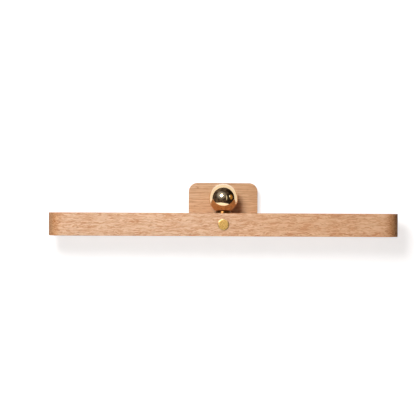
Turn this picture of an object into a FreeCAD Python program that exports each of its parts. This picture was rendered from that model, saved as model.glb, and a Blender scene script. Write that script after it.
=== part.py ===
import FreeCAD, Part
import math
import os

# Rechargeable wall light, in millimetres.
# A wooden bar with a light strip in its underside hangs by a magnet from a plated steel ball.
# The ball stands on a turned neck in front of a small wooden wall plate, which sticks to the wall.
# +Z is up, the wall is the plane y = 0, and the light stands off it towards -Y.
# The origin is on the wall, straight behind the ball's centre.

# Ball, neck and wall plate
BALL_DIAMETER = 25.0
BALL_STANDOFF = 16.5        # from the plate's front to the ball's centre
PLATE_WIDTH = 60.0
PLATE_HEIGHT = 32.0
PLATE_THICKNESS = 9.0
PLATE_CORNER = 7.5
PLATE_DROP = 2.4            # the plate's centre lies this far below the neck's axis
PAD_THICKNESS = 1.0
PAD_INSET = 2.0             # the adhesive pad stops this far inside the plate's edge
NECK_BASE_DIAMETER = 14.0
NECK_BASE_THICKNESS = 1.0
NECK_WAIST_DIAMETER = 9.0
NECK_RIM_DIAMETER = 11.2
SPIGOT_DIAMETER = 7.0
SPIGOT_LENGTH = 5.0         # how far the neck reaches into the plate
STEM_SCREW_DIAMETER = 4.0
STEM_SCREW_HEAD = 7.6
STEM_SCREW_SINK = 0.3       # the head lies this far under the plate's back
STEM_SCREW_SKIN = 0.8       # brass left between the screw's end and the ball

# Magnetic seat in the bar's top
COLLAR_DIAMETER = 13.2
COLLAR_LIP_BORE = 7.8       # the opening through which the magnet holds the ball
FLANGE_DIAMETER = 16.0
FLANGE_THICKNESS = 1.2
FLANGE_COVER = 2.7          # wood above the flange
MAGNET_DIAMETER = 9.0
MAGNET_HEIGHT = 5.0
MAGNET_TO_BALL = 0.5
BARREL_WALL = 1.05
YOKE_OVERLAP = 0.9          # the yoke is wider than the barrel by this much all round
YOKE_THICKNESS = 1.2
RETAINER_THICKNESS = 1.0
RETAINER_LENGTH = 34.0
RETAINER_SCREW_SPACING = 26.0
RETAINER_SCREW_BITE = 2.8
TOP_TO_BALL = 0.1           # the bar's top passes this far under the ball

# Wooden bar
BAR_LENGTH = 300.0
BAR_DEPTH = 30.0
END_FLAT = 2.0              # flat left at each end between its two rounded corners
EDGE_EASE = 0.3             # bevel along the bar's and the plate's outer edges
RIM_WIDTH = 3.0             # wood around the diffuser
DIFFUSER_LEDGE = 1.5
TRAY_LEDGE = 1.5
POCKET_END = 14.0           # wood at each end of the pocket that holds the electronics

# Light strip, from the pocket's floor down to the bar's underside
TRAY_THICKNESS = 1.0
TRAY_RIM_HEIGHT = 2.4
TRAY_RIM_WALL = 0.8
STRIP_THICKNESS = 0.8
STRIP_WIDTH = 9.0
STRIP_END_GAP = 3.0         # from the strip's ends to the heads of the tray's screws
DIODE_LENGTH = 3.5
DIODE_WIDTH = 2.8
DIODE_HEIGHT = 0.7
DIODE_PITCH = 7.8
LIGHT_GAP = 2.4             # from the diodes to the diffuser
DIFFUSER_THICKNESS = 1.8
DIFFUSER_RECESS = 0.1
DIFFUSER_EASE = 0.3
DIFFUSER_RIB_HEIGHT = 1.0
DIFFUSER_RIB_WALL = 1.0
TRAY_SCREW_LENGTH = 6.0

# Push button in the bar's front
BUTTON_DIAMETER = 9.6
BUTTON_PROUD = 0.8
BUTTON_CHAMFER = 0.5
BUTTON_BODY = 1.7           # thickness of the cap inside the wood
BUTTON_TRAVEL = 0.5
BUTTON_STEM_DIAMETER = 3.0
CLIP_DIAMETER = 6.0
CLIP_THICKNESS = 0.6
CLIP_GROOVE_DIAMETER = 2.2
CLIP_MOUTH = 1.6
SWITCH_SIZE = 4.5
SWITCH_DEPTH = 2.6
SWITCH_TO_SEAT = 0.9
SWITCH_TO_FLOOR = 0.9
PLUNGER_DIAMETER = 2.2
PLUNGER_SHOWN = 1.0
PLUNGER_HELD = 0.6
SWITCH_BOARD_WIDTH = 16.0

# Main board, charging socket and charge light
BOARD_THICKNESS = 1.2
BOARD_PAD_THICKNESS = 0.8
BOARD_LEFT = -24.0
BOARD_MARGIN = 5.5          # board beyond the socket on the right
SOCKET_X = 40.0
SOCKET_WIDTH = 8.94
SOCKET_HEIGHT = 3.26
SOCKET_LENGTH = 7.35
SOCKET_WALL = 0.3
TONGUE_WIDTH = 6.2
TONGUE_THICKNESS = 0.7
TONGUE_SETBACK = 1.0
SOCKET_BLOCK = 2.4          # moulded block that closes the back of the socket's shell
PLUG_RECESS_DEPTH = 1.0
PLUG_RECESS_MARGIN = 2.0
RELIEF_WALL = 2.4           # wood left behind the board's tab
RELIEF_MARGIN = 2.5
CHARGE_LIGHT_DIAMETER = 2.4
CHARGE_LIGHT_SPACING = 9.0
CHARGE_LIGHT_REACH = 1.5    # how far the charge light's rod reaches past the wood
CHARGE_DIODE_SIZE = 1.6
CHIP_SIZE = 5.0
CHIP_HEIGHT = 1.0
COIL_SIZE = 6.0
COIL_HEIGHT = 3.0
CAPACITOR_DIAMETER = 5.0
CAPACITOR_HEIGHT = 4.5
PART_SPACING = 3.0
PART_ROW_SETBACK = 4.0      # the row of parts lies this far in front of the seat's axis
PART_CORNER = 0.8
PLUG_BLOCK_WIDTH = 5.0
PLUG_BLOCK_LENGTH = 6.0
PLUG_BLOCK_HEIGHT = 4.0

# Battery cells and leads
CELL_BOARD_GAP = 8.0
CELL_PAD_THICKNESS = 0.8
CELL_PAD_LENGTH = 20.0
CELL_EDGE = 2.4
CELL_TAB_LENGTH = 4.0
CELL_TAB_HEIGHT = 3.0
LEAD_DIAMETER = 1.2
LEAD_SPACING = 2.6

# Small screws
SCREW_DIAMETER = 2.0
SCREW_HEAD_DIAMETER = 3.6
SCREW_SLOT_WIDTH = 0.6
SCREW_SLOT_DEPTH = 0.4

# Clearances
RUNNING_GAP = 0.05          # turned pieces that move on each other
FIT_GAP = 0.15              # pieces laid into the wood
SIDE_GAP = 0.5              # boards and cells beside the pocket's walls
CLEAR_GAP = 0.3             # moving pieces beside fixed ones

# Places along Y, from the wall outwards
PAD_FRONT_Y = -PAD_THICKNESS
PLATE_FRONT_Y = PAD_FRONT_Y - PLATE_THICKNESS
BALL_Y = PLATE_FRONT_Y - BALL_STANDOFF
BAR_FRONT_Y = BALL_Y - BAR_DEPTH / 2
BAR_BACK_Y = BALL_Y + BAR_DEPTH / 2
WELL_WALL = RIM_WIDTH + DIFFUSER_LEDGE
POCKET_WALL = WELL_WALL + TRAY_LEDGE
POCKET_FRONT_Y = BAR_FRONT_Y + POCKET_WALL
POCKET_BACK_Y = BAR_BACK_Y - POCKET_WALL

# Places along Z, from the ball down; the button's switch fits between the seat and the tray
BALL_RADIUS = BALL_DIAMETER / 2
CUP_RADIUS = BALL_RADIUS + RUNNING_GAP
BAR_TOP_Z = -BALL_RADIUS - TOP_TO_BALL
MAGNET_TOP_Z = -BALL_RADIUS - MAGNET_TO_BALL
MAGNET_BOTTOM_Z = MAGNET_TOP_Z - MAGNET_HEIGHT
FLANGE_RECESS = FLANGE_THICKNESS + 2 * RUNNING_GAP
CEILING_Z = BAR_TOP_Z - FLANGE_COVER - FLANGE_RECESS
YOKE_BOTTOM_Z = MAGNET_BOTTOM_Z - YOKE_THICKNESS
BUTTON_Z = YOKE_BOTTOM_Z - SWITCH_TO_SEAT - SWITCH_SIZE / 2
FLOOR_Z = BUTTON_Z - SWITCH_SIZE / 2 - SWITCH_TO_FLOOR
STRIP_TOP_Z = FLOOR_Z - TRAY_THICKNESS
DIODE_TOP_Z = STRIP_TOP_Z - STRIP_THICKNESS
DIODE_BOTTOM_Z = DIODE_TOP_Z - DIODE_HEIGHT
DIFFUSER_TOP_Z = DIODE_BOTTOM_Z - LIGHT_GAP
DIFFUSER_BOTTOM_Z = DIFFUSER_TOP_Z - DIFFUSER_THICKNESS
BAR_BOTTOM_Z = DIFFUSER_BOTTOM_Z - DIFFUSER_RECESS
PAD_TOP_Z = FLOOR_Z + BOARD_PAD_THICKNESS
BOARD_TOP_Z = PAD_TOP_Z + BOARD_THICKNESS
SOCKET_Z = BOARD_TOP_Z + SOCKET_HEIGHT / 2

# Places along X
BAR_CORNER = (BAR_DEPTH - END_FLAT) / 2
WELL_HALF = BAR_LENGTH / 2 - WELL_WALL
POCKET_HALF = BAR_LENGTH / 2 - POCKET_END
TRAY_SCREW_X = (WELL_HALF + POCKET_HALF) / 2
BOARD_RIGHT = SOCKET_X + SOCKET_WIDTH / 2 + BOARD_MARGIN
CELL_INNER_X = BOARD_RIGHT + CELL_BOARD_GAP
CELL_OUTER_X = POCKET_HALF - (BAR_CORNER - POCKET_WALL)
CHARGE_LIGHT_X = SOCKET_X - CHARGE_LIGHT_SPACING

# Radii of the seat's turned steps
BARREL_RADIUS = MAGNET_DIAMETER / 2 + BARREL_WALL
YOKE_RADIUS = BARREL_RADIUS + YOKE_OVERLAP

# Places along the button's axis, and the strip's leads between its switch and the pocket's back
CAP_BACK_Y = BAR_FRONT_Y + BUTTON_BODY
BUTTON_FLOOR_Y = CAP_BACK_Y + BUTTON_TRAVEL + CLEAR_GAP
CLIP_FRONT_Y = POCKET_FRONT_Y + CLEAR_GAP
CLIP_BACK_Y = CLIP_FRONT_Y + CLIP_THICKNESS
STEM_END_Y = CLIP_BACK_Y + CLIP_THICKNESS
SWITCH_FRONT_Y = STEM_END_Y + PLUNGER_SHOWN
SWITCH_BACK_Y = SWITCH_FRONT_Y + SWITCH_DEPTH
SWITCH_BOARD_BACK_Y = SWITCH_BACK_Y + BOARD_THICKNESS
LEAD_ROW_Y = (SWITCH_BOARD_BACK_Y + POCKET_BACK_Y) / 2

X_AXIS = FreeCAD.Vector(1, 0, 0)
Y_AXIS = FreeCAD.Vector(0, 1, 0)
Z_AXIS = FreeCAD.Vector(0, 0, 1)
BALL_CENTRE = FreeCAD.Vector(0, BALL_Y, 0)


def block(x_range, y_range, z_range):
    """Box between two places along each axis."""
    low = FreeCAD.Vector(min(x_range), min(y_range), min(z_range))
    high = FreeCAD.Vector(max(x_range), max(y_range), max(z_range))
    size = high - low
    return Part.makeBox(size.x, size.y, size.z, low)


def upright(radius, z_range, x=0.0, y=BALL_Y):
    """Cylinder along Z, by default on the seat's axis."""
    low = min(z_range)
    return Part.makeCylinder(radius, max(z_range) - low, FreeCAD.Vector(x, y, low), Z_AXIS)


def level(radius, y_range, x=0.0, z=0.0):
    """Cylinder along Y, by default on the neck's axis."""
    low = min(y_range)
    return Part.makeCylinder(radius, max(y_range) - low, FreeCAD.Vector(x, low, z), Y_AXIS)


def edges_along(shape, axis):
    """Straight edges that run along an axis."""
    found = []
    for edge in shape.Edges:
        if isinstance(edge.Curve, Part.Line):
            run = edge.Vertexes[-1].Point - edge.Vertexes[0].Point
            if run.normalize().cross(axis).Length < 1e-6:
                found.append(edge)
    return found


def outline_of(shape, axis, at):
    """Edges of the flat face that is square to an axis at a height along it."""
    for face in shape.Faces:
        if abs(face.CenterOfMass.dot(axis) - at) < 1e-6:
            if abs(face.normalAt(0, 0).cross(axis).Length) < 1e-6:
                return face.Edges
    raise ValueError("no face there")


def bar_layer(inset, z_range, half_length=None):
    """Layer with the bar's rounded plan, drawn in by an inset all round."""
    half = BAR_LENGTH / 2 - inset if half_length is None else half_length
    y_range = (BAR_FRONT_Y + inset, BAR_BACK_Y - inset)
    layer = block((-half, half), y_range, z_range)
    return layer.makeFillet(BAR_CORNER - inset, edges_along(layer, Z_AXIS))


def plate_layer(inset, y_range):
    """Layer with the wall plate's rounded outline, drawn in by an inset all round."""
    half_width = PLATE_WIDTH / 2 - inset
    half_height = PLATE_HEIGHT / 2 - inset
    z_range = (-PLATE_DROP - half_height, -PLATE_DROP + half_height)
    layer = block((-half_width, half_width), y_range, z_range)
    return layer.makeFillet(PLATE_CORNER - inset, edges_along(layer, Y_AXIS))


def capsule_along_y(width, height, y_range, x, z):
    """Block along Y whose section is a slot with round ends."""
    x_range = (x - width / 2, x + width / 2)
    z_range = (z - height / 2, z + height / 2)
    shape = block(x_range, y_range, z_range)
    return shape.makeFillet(height / 2 - 0.001, edges_along(shape, Y_AXIS))


def turned(edges, centre, axis):
    """Solid turned from a closed profile."""
    face = Part.Face(Part.Wire(edges))
    return face.revolve(centre, axis, 360)


def path_through(points):
    """Straight edges from each point to the next."""
    return [Part.LineSegment(a, b).toShape() for a, b in zip(points, points[1:])]


def small_screw(length, head_height):
    """Cheese-head screw that points up from the origin, with a slot in its head."""
    shank = Part.makeCylinder(SCREW_DIAMETER / 2, length)
    head = Part.makeCylinder(SCREW_HEAD_DIAMETER / 2, head_height, FreeCAD.Vector(), -Z_AXIS)
    half_slot = SCREW_SLOT_WIDTH / 2
    slot = block(
        (-SCREW_HEAD_DIAMETER, SCREW_HEAD_DIAMETER),
        (-half_slot, half_slot),
        (-head_height, SCREW_SLOT_DEPTH - head_height),
    )
    return shank.fuse(head).cut(slot).removeSplitter()


def placed(shape, x, y, z):
    """Copy of a shape moved from the origin to a place."""
    moved = shape.copy()
    moved.translate(FreeCAD.Vector(x, y, z))
    return moved


def wall_plate():
    """Small wooden plate with rounded corners and an eased front edge."""
    plate = plate_layer(0.0, (PLATE_FRONT_Y, PAD_FRONT_Y))
    plate = plate.makeChamfer(EDGE_EASE, outline_of(plate, Y_AXIS, PLATE_FRONT_Y))
    spigot_end = PLATE_FRONT_Y + SPIGOT_LENGTH + CLEAR_GAP
    spigot_hole = level(SPIGOT_DIAMETER / 2 + RUNNING_GAP, (PLATE_FRONT_Y, spigot_end))
    screw_hole = level(STEM_SCREW_DIAMETER / 2 + RUNNING_GAP, (PLATE_FRONT_Y, PAD_FRONT_Y))
    return plate.cut([spigot_hole, screw_hole, countersink(RUNNING_GAP, PAD_FRONT_Y)])


def countersink(gap, back_y):
    """Cone of the stem screw's head, with a gap around it, that runs out to a place along Y."""
    head_y = PAD_FRONT_Y - STEM_SCREW_SINK
    head_radius = STEM_SCREW_HEAD / 2
    shank_radius = STEM_SCREW_DIAMETER / 2
    depth = head_radius - shank_radius
    cone = Part.makeCone(
        shank_radius + gap,
        head_radius + gap,
        depth,
        FreeCAD.Vector(0, head_y - depth, 0),
        Y_AXIS,
    )
    if back_y - head_y < 1e-6:
        return cone
    return cone.fuse(level(head_radius + gap, (head_y, back_y)))


def adhesive_pad():
    """Sticky foam pad between the plate and the wall."""
    return plate_layer(PAD_INSET, (PAD_FRONT_Y, 0.0))


def neck():
    """Turned brass neck: a spigot in the plate, a thin base, a drawn-in waist and a cup for the ball."""
    base_back = PLATE_FRONT_Y - RUNNING_GAP
    base_front = base_back - NECK_BASE_THICKNESS
    rim_radius = NECK_RIM_DIAMETER / 2
    rim_y = BALL_Y + math.sqrt(CUP_RADIUS**2 - rim_radius**2)
    spigot_end = PLATE_FRONT_Y + SPIGOT_LENGTH
    waist_start = FreeCAD.Vector(rim_radius, base_front, 0)
    waist_middle = FreeCAD.Vector(NECK_WAIST_DIAMETER / 2, (base_front + rim_y) / 2, 0)
    waist_end = FreeCAD.Vector(rim_radius, rim_y, 0)
    inside_ball_y = BALL_Y + BALL_RADIUS / 2
    edges = path_through([
        FreeCAD.Vector(0, spigot_end, 0),
        FreeCAD.Vector(SPIGOT_DIAMETER / 2, spigot_end, 0),
        FreeCAD.Vector(SPIGOT_DIAMETER / 2, base_back, 0),
        FreeCAD.Vector(NECK_BASE_DIAMETER / 2, base_back, 0),
        FreeCAD.Vector(NECK_BASE_DIAMETER / 2, base_front, 0),
        waist_start,
    ])
    edges.append(Part.Arc(waist_start, waist_middle, waist_end).toShape())
    edges += path_through([
        waist_end,
        FreeCAD.Vector(rim_radius, inside_ball_y, 0),
        FreeCAD.Vector(0, inside_ball_y, 0),
        FreeCAD.Vector(0, spigot_end, 0),
    ])
    shape = turned(edges, FreeCAD.Vector(), Y_AXIS)
    shape = shape.cut(Part.makeSphere(CUP_RADIUS, BALL_CENTRE))
    return shape.cut(level(STEM_SCREW_DIAMETER / 2, (stem_screw_end(), spigot_end)))


def stem_screw_end():
    """Place along Y of the stem screw's front end, just short of the ball."""
    return BALL_Y + BALL_RADIUS + STEM_SCREW_SKIN


def stem_screw():
    """Countersunk screw from the plate's back into the neck, with a hexagonal socket."""
    head_y = PAD_FRONT_Y - STEM_SCREW_SINK
    shank = level(STEM_SCREW_DIAMETER / 2, (stem_screw_end(), head_y))
    screw = shank.fuse(countersink(0.0, head_y))
    socket_radius = STEM_SCREW_DIAMETER * 0.36
    corners = [
        FreeCAD.Vector(
            socket_radius * math.cos(math.radians(60 * k)),
            head_y,
            socket_radius * math.sin(math.radians(60 * k)),
        )
        for k in range(7)
    ]
    socket = Part.Face(Part.makePolygon(corners)).extrude(-Y_AXIS * STEM_SCREW_DIAMETER / 2)
    return screw.cut(socket).removeSplitter()


def ball():
    """Plated steel ball that the bar hangs from."""
    return Part.makeSphere(BALL_RADIUS, BALL_CENTRE)


def seat_collar():
    """Turned brass collar: a cup for the ball, a flange under the wood and a barrel for the magnet."""
    flange_top = BAR_TOP_Z - FLANGE_COVER - RUNNING_GAP
    flange_bottom = flange_top - FLANGE_THICKNESS
    collar = upright(COLLAR_DIAMETER / 2, (flange_top, -BALL_RADIUS / 2))
    flange = upright(FLANGE_DIAMETER / 2, (flange_top, flange_bottom))
    barrel = upright(BARREL_RADIUS, (flange_top, MAGNET_BOTTOM_Z))
    shape = collar.fuse([flange, barrel])
    cup = Part.makeSphere(CUP_RADIUS, BALL_CENTRE)
    lip = upright(COLLAR_LIP_BORE / 2, (-BALL_RADIUS / 2, MAGNET_TOP_Z))
    bore = upright(MAGNET_DIAMETER / 2, (MAGNET_TOP_Z, MAGNET_BOTTOM_Z))
    return shape.cut([cup, lip, bore]).removeSplitter()


def seat_magnet():
    """Disc magnet under the ball."""
    return upright(MAGNET_DIAMETER / 2, (MAGNET_TOP_Z, MAGNET_BOTTOM_Z))


def magnet_yoke():
    """Steel disc that closes the magnet's back and locks the seat in its retainer."""
    return upright(YOKE_RADIUS, (MAGNET_BOTTOM_Z, YOKE_BOTTOM_Z))


def seat_retainer():
    """Steel strap under the seat's flange, with a screw hole at each end."""
    half = RETAINER_LENGTH / 2
    y_range = (POCKET_FRONT_Y + SIDE_GAP, POCKET_BACK_Y - SIDE_GAP)
    z_range = (CEILING_Z - RETAINER_THICKNESS, CEILING_Z)
    strap = block((-half, half), y_range, z_range)
    strap = strap.makeFillet(3.0, edges_along(strap, Z_AXIS))
    holes = [upright(BARREL_RADIUS + RUNNING_GAP, z_range)]
    for side in (-1, 1):
        holes.append(upright(SCREW_DIAMETER / 2 + FIT_GAP, z_range, side * RETAINER_SCREW_SPACING / 2))
    return strap.cut(holes)


def retainer_screws():
    """Two screws that hold the retainer to the wood above it."""
    head_z = CEILING_Z - RETAINER_THICKNESS
    screw = small_screw(RETAINER_THICKNESS + RETAINER_SCREW_BITE, 1.0)
    return [placed(screw, side * RETAINER_SCREW_SPACING / 2, BALL_Y, head_z) for side in (-1, 1)]


def bar_body():
    """Wooden bar with rounded ends, routed in three steps from below and bored for the seat and button."""
    bar = bar_layer(0.0, (BAR_BOTTOM_Z, BAR_TOP_Z))
    bar = bar.makeChamfer(EDGE_EASE, outline_of(bar, Z_AXIS, BAR_TOP_Z))
    bar = bar.makeChamfer(EDGE_EASE, outline_of(bar, Z_AXIS, BAR_BOTTOM_Z))
    rebate = bar_layer(RIM_WIDTH, (BAR_BOTTOM_Z, DIFFUSER_TOP_Z))
    well = bar_layer(WELL_WALL, (BAR_BOTTOM_Z, FLOOR_Z))
    pocket = bar_layer(POCKET_WALL, (BAR_BOTTOM_Z, CEILING_Z), POCKET_HALF)
    flange_top = CEILING_Z + FLANGE_RECESS
    collar_hole = upright(COLLAR_DIAMETER / 2 + RUNNING_GAP, (CEILING_Z, BAR_TOP_Z))
    flange_recess = upright(FLANGE_DIAMETER / 2 + RUNNING_GAP, (CEILING_Z, flange_top))
    cuts = [rebate, well, pocket, collar_hole, flange_recess]
    for side in (-1, 1):
        retainer_pilot = upright(
            SCREW_DIAMETER / 2,
            (CEILING_Z, CEILING_Z + RETAINER_SCREW_BITE),
            side * RETAINER_SCREW_SPACING / 2,
        )
        tray_pilot = upright(
            SCREW_DIAMETER / 2,
            (FLOOR_Z, FLOOR_Z + TRAY_SCREW_LENGTH),
            side * TRAY_SCREW_X,
        )
        cuts += [retainer_pilot, tray_pilot]
    return bar.cut(cuts + button_cuts() + socket_cuts())


def button_cuts():
    """Counterbore and stem hole for the button."""
    counterbore = level(
        BUTTON_DIAMETER / 2 + FIT_GAP, (BAR_FRONT_Y, BUTTON_FLOOR_Y), z=BUTTON_Z
    )
    stem_hole = level(
        BUTTON_STEM_DIAMETER / 2 + RUNNING_GAP, (BAR_FRONT_Y, POCKET_FRONT_Y), z=BUTTON_Z
    )
    return [counterbore, stem_hole]


def relief_half():
    """Half the width of the board's tab and of the pocket behind it, without their gap."""
    return SOCKET_WIDTH / 2 + RELIEF_MARGIN


def socket_cuts():
    """Openings in the bar's back: the board tab's relief, the socket's slot and recess, and the light's hole."""
    half = relief_half() + FIT_GAP
    relief_back = BAR_BACK_Y - RELIEF_WALL
    relief_top = BOARD_TOP_Z + SOCKET_HEIGHT + FIT_GAP
    relief = block(
        (SOCKET_X - half, SOCKET_X + half), (POCKET_BACK_Y, relief_back), (FLOOR_Z, relief_top)
    )
    slot = capsule_along_y(
        SOCKET_WIDTH + 2 * FIT_GAP,
        SOCKET_HEIGHT + 2 * FIT_GAP,
        (POCKET_BACK_Y, BAR_BACK_Y),
        SOCKET_X,
        SOCKET_Z,
    )
    recess = capsule_along_y(
        SOCKET_WIDTH + 2 * PLUG_RECESS_MARGIN,
        SOCKET_HEIGHT + 2 * PLUG_RECESS_MARGIN,
        (BAR_BACK_Y - PLUG_RECESS_DEPTH, BAR_BACK_Y),
        SOCKET_X,
        SOCKET_Z,
    )
    light_hole = level(
        CHARGE_LIGHT_DIAMETER / 2 + RUNNING_GAP,
        (POCKET_BACK_Y, BAR_BACK_Y),
        CHARGE_LIGHT_X,
        SOCKET_Z,
    )
    return [relief, slot, recess, light_hole]


def diffuser():
    """Opal cover set into the bar's underside, with a rib that finds the well's wall."""
    cover = bar_layer(RIM_WIDTH + FIT_GAP, (DIFFUSER_BOTTOM_Z, DIFFUSER_TOP_Z))
    cover = cover.makeChamfer(DIFFUSER_EASE, outline_of(cover, Z_AXIS, DIFFUSER_BOTTOM_Z))
    rib_range = (DIFFUSER_TOP_Z, DIFFUSER_TOP_Z + DIFFUSER_RIB_HEIGHT)
    outer = bar_layer(WELL_WALL + FIT_GAP, rib_range)
    inner = bar_layer(WELL_WALL + FIT_GAP + DIFFUSER_RIB_WALL, rib_range)
    return cover.fuse(outer.cut(inner)).removeSplitter()


def light_tray():
    """Aluminium tray on the pocket's ledge, with a turned-down rim that throws the light down."""
    plate = bar_layer(WELL_WALL + FIT_GAP, (STRIP_TOP_Z, FLOOR_Z))
    rim_range = (STRIP_TOP_Z - TRAY_RIM_HEIGHT, STRIP_TOP_Z)
    outer = bar_layer(WELL_WALL + FIT_GAP, rim_range)
    inner = bar_layer(WELL_WALL + FIT_GAP + TRAY_RIM_WALL, rim_range)
    holes = []
    for side in (-1, 1):
        holes.append(
            upright(SCREW_DIAMETER / 2 + FIT_GAP, (STRIP_TOP_Z, FLOOR_Z), side * TRAY_SCREW_X)
        )
        holes.append(
            upright(
                LEAD_DIAMETER / 2 + CLEAR_GAP, (STRIP_TOP_Z, FLOOR_Z), strip_lead_x(side), LEAD_ROW_Y
            )
        )
    return plate.fuse(outer.cut(inner)).cut(holes).removeSplitter()


def tray_screws():
    """Two screws that hold the tray at its ends."""
    screw = small_screw(TRAY_THICKNESS + TRAY_SCREW_LENGTH, 1.2)
    return [placed(screw, side * TRAY_SCREW_X, BALL_Y, STRIP_TOP_Z) for side in (-1, 1)]


def strip_half_length():
    """Half the light strip's length, which ends short of the tray's screws."""
    return TRAY_SCREW_X - SCREW_HEAD_DIAMETER / 2 - STRIP_END_GAP


def light_strip():
    """Long narrow board under the tray that carries the diodes."""
    half = strip_half_length()
    y_range = (BALL_Y - STRIP_WIDTH / 2, BALL_Y + STRIP_WIDTH / 2)
    return block((-half, half), y_range, (DIODE_TOP_Z, STRIP_TOP_Z))


def diodes():
    """Even row of light-emitting diodes along the strip."""
    room = 2 * strip_half_length() - DIODE_PITCH
    count = int(room // DIODE_PITCH) + 1
    first = -DIODE_PITCH * (count - 1) / 2
    y_range = (BALL_Y - DIODE_WIDTH / 2, BALL_Y + DIODE_WIDTH / 2)
    row = []
    for k in range(count):
        x = first + k * DIODE_PITCH
        x_range = (x - DIODE_LENGTH / 2, x + DIODE_LENGTH / 2)
        row.append(block(x_range, y_range, (DIODE_BOTTOM_Z, DIODE_TOP_Z)))
    return row


def strip_lead_x(side):
    """Place along X of one of the two leads to the light strip."""
    return BOARD_LEFT / 2 + side * LEAD_SPACING / 2


def strip_leads():
    """Two short leads from the main board down through the tray to the light strip."""
    z_range = (STRIP_TOP_Z, PAD_TOP_Z)
    return [upright(LEAD_DIAMETER / 2, z_range, strip_lead_x(side), LEAD_ROW_Y) for side in (-1, 1)]


def battery_cell(side):
    """Flat cell with rounded long edges and a small end board, left or right of the main board."""
    bottom = FLOOR_Z + CELL_PAD_THICKNESS
    top = CEILING_Z - CELL_PAD_THICKNESS
    y_range = (POCKET_FRONT_Y + SIDE_GAP, POCKET_BACK_Y - SIDE_GAP)
    pouch = block((side * (CELL_INNER_X + CELL_TAB_LENGTH), side * CELL_OUTER_X), y_range, (bottom, top))
    pouch = pouch.makeFillet(CELL_EDGE, edges_along(pouch, X_AXIS))
    tab = block(
        (side * CELL_INNER_X, side * (CELL_INNER_X + CELL_TAB_LENGTH)),
        (y_range[0] + CELL_EDGE, y_range[1] - CELL_EDGE),
        (lead_height() - CELL_TAB_HEIGHT / 2, lead_height() + CELL_TAB_HEIGHT / 2),
    )
    return pouch.fuse(tab).removeSplitter()


def cell_pads():
    """Foam pads above and below each cell."""
    middle = (CELL_INNER_X + CELL_TAB_LENGTH + CELL_OUTER_X) / 2
    y_range = (POCKET_FRONT_Y + SIDE_GAP + CELL_EDGE, POCKET_BACK_Y - SIDE_GAP - CELL_EDGE)
    pads = []
    for side in (-1, 1):
        x_range = (side * middle - CELL_PAD_LENGTH / 2, side * middle + CELL_PAD_LENGTH / 2)
        pads.append(block(x_range, y_range, (FLOOR_Z, FLOOR_Z + CELL_PAD_THICKNESS)))
        pads.append(block(x_range, y_range, (CEILING_Z - CELL_PAD_THICKNESS, CEILING_Z)))
    return pads


def lead_height():
    """Height of the cells' leads, at the middle of the board's connectors."""
    return BOARD_TOP_Z + PLUG_BLOCK_HEIGHT / 2


def cell_leads():
    """Two straight leads from each cell to its connector on the main board."""
    runs = ((-CELL_INNER_X, BOARD_LEFT), (BOARD_RIGHT, CELL_INNER_X))
    leads = []
    for start, end in runs:
        for side in (-1, 1):
            place = FreeCAD.Vector(start, BALL_Y + side * LEAD_SPACING / 2, lead_height())
            leads.append(Part.makeCylinder(LEAD_DIAMETER / 2, end - start, place, X_AXIS))
    return leads


def main_board():
    """Circuit board over the tray, notched for the switch board, with a tab that carries the socket."""
    z_range = (PAD_TOP_Z, BOARD_TOP_Z)
    board = block(
        (BOARD_LEFT, BOARD_RIGHT), (POCKET_FRONT_Y + SIDE_GAP, POCKET_BACK_Y - SIDE_GAP), z_range
    )
    tab = block(
        (SOCKET_X - relief_half(), SOCKET_X + relief_half()),
        (POCKET_BACK_Y - SIDE_GAP, BAR_BACK_Y - RELIEF_WALL - CLEAR_GAP),
        z_range,
    )
    notch = block(
        (-SWITCH_BOARD_WIDTH / 2, SWITCH_BOARD_WIDTH / 2),
        (POCKET_FRONT_Y, SWITCH_BOARD_BACK_Y),
        z_range,
    )
    return board.fuse(tab).cut(notch).removeSplitter()


def board_pad():
    """Foam pad that keeps the main board off the tray, behind the notch, with a gap for the leads."""
    pad = block(
        (BOARD_LEFT + SIDE_GAP, BOARD_RIGHT - SIDE_GAP),
        (SWITCH_BOARD_BACK_Y + SIDE_GAP, POCKET_BACK_Y - 2 * SIDE_GAP),
        (FLOOR_Z, PAD_TOP_Z),
    )
    lead_gap = block(
        (strip_lead_x(-1) - LEAD_DIAMETER, strip_lead_x(1) + LEAD_DIAMETER),
        (LEAD_ROW_Y - LEAD_DIAMETER, LEAD_ROW_Y + LEAD_DIAMETER),
        (FLOOR_Z, PAD_TOP_Z),
    )
    return pad.cut(lead_gap)


def board_parts():
    """Chip, coil, capacitor, charge diode and the two cell connectors on the main board."""
    row_y = BALL_Y - PART_ROW_SETBACK
    chip_x = SWITCH_BOARD_WIDTH / 2 + PART_SPACING
    coil_x = chip_x + CHIP_SIZE + PART_SPACING
    capacitor_x = coil_x + COIL_SIZE + PART_SPACING + CAPACITOR_DIAMETER / 2
    chip = block(
        (chip_x, chip_x + CHIP_SIZE),
        (row_y - CHIP_SIZE / 2, row_y + CHIP_SIZE / 2),
        (BOARD_TOP_Z, BOARD_TOP_Z + CHIP_HEIGHT),
    )
    coil = block(
        (coil_x, coil_x + COIL_SIZE),
        (row_y - COIL_SIZE / 2, row_y + COIL_SIZE / 2),
        (BOARD_TOP_Z, BOARD_TOP_Z + COIL_HEIGHT),
    )
    coil = coil.makeFillet(PART_CORNER, edges_along(coil, Z_AXIS))
    capacitor = upright(
        CAPACITOR_DIAMETER / 2, (BOARD_TOP_Z, BOARD_TOP_Z + CAPACITOR_HEIGHT), capacitor_x, row_y
    )
    light_y = charge_light_inner_y()
    charge_diode = block(
        (CHARGE_LIGHT_X - CHARGE_DIODE_SIZE / 2, CHARGE_LIGHT_X + CHARGE_DIODE_SIZE / 2),
        (light_y - CHARGE_DIODE_SIZE, light_y),
        (BOARD_TOP_Z, SOCKET_Z + CHARGE_DIODE_SIZE / 2),
    )
    return [chip, coil, capacitor, charge_diode] + cell_connectors()


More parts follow.
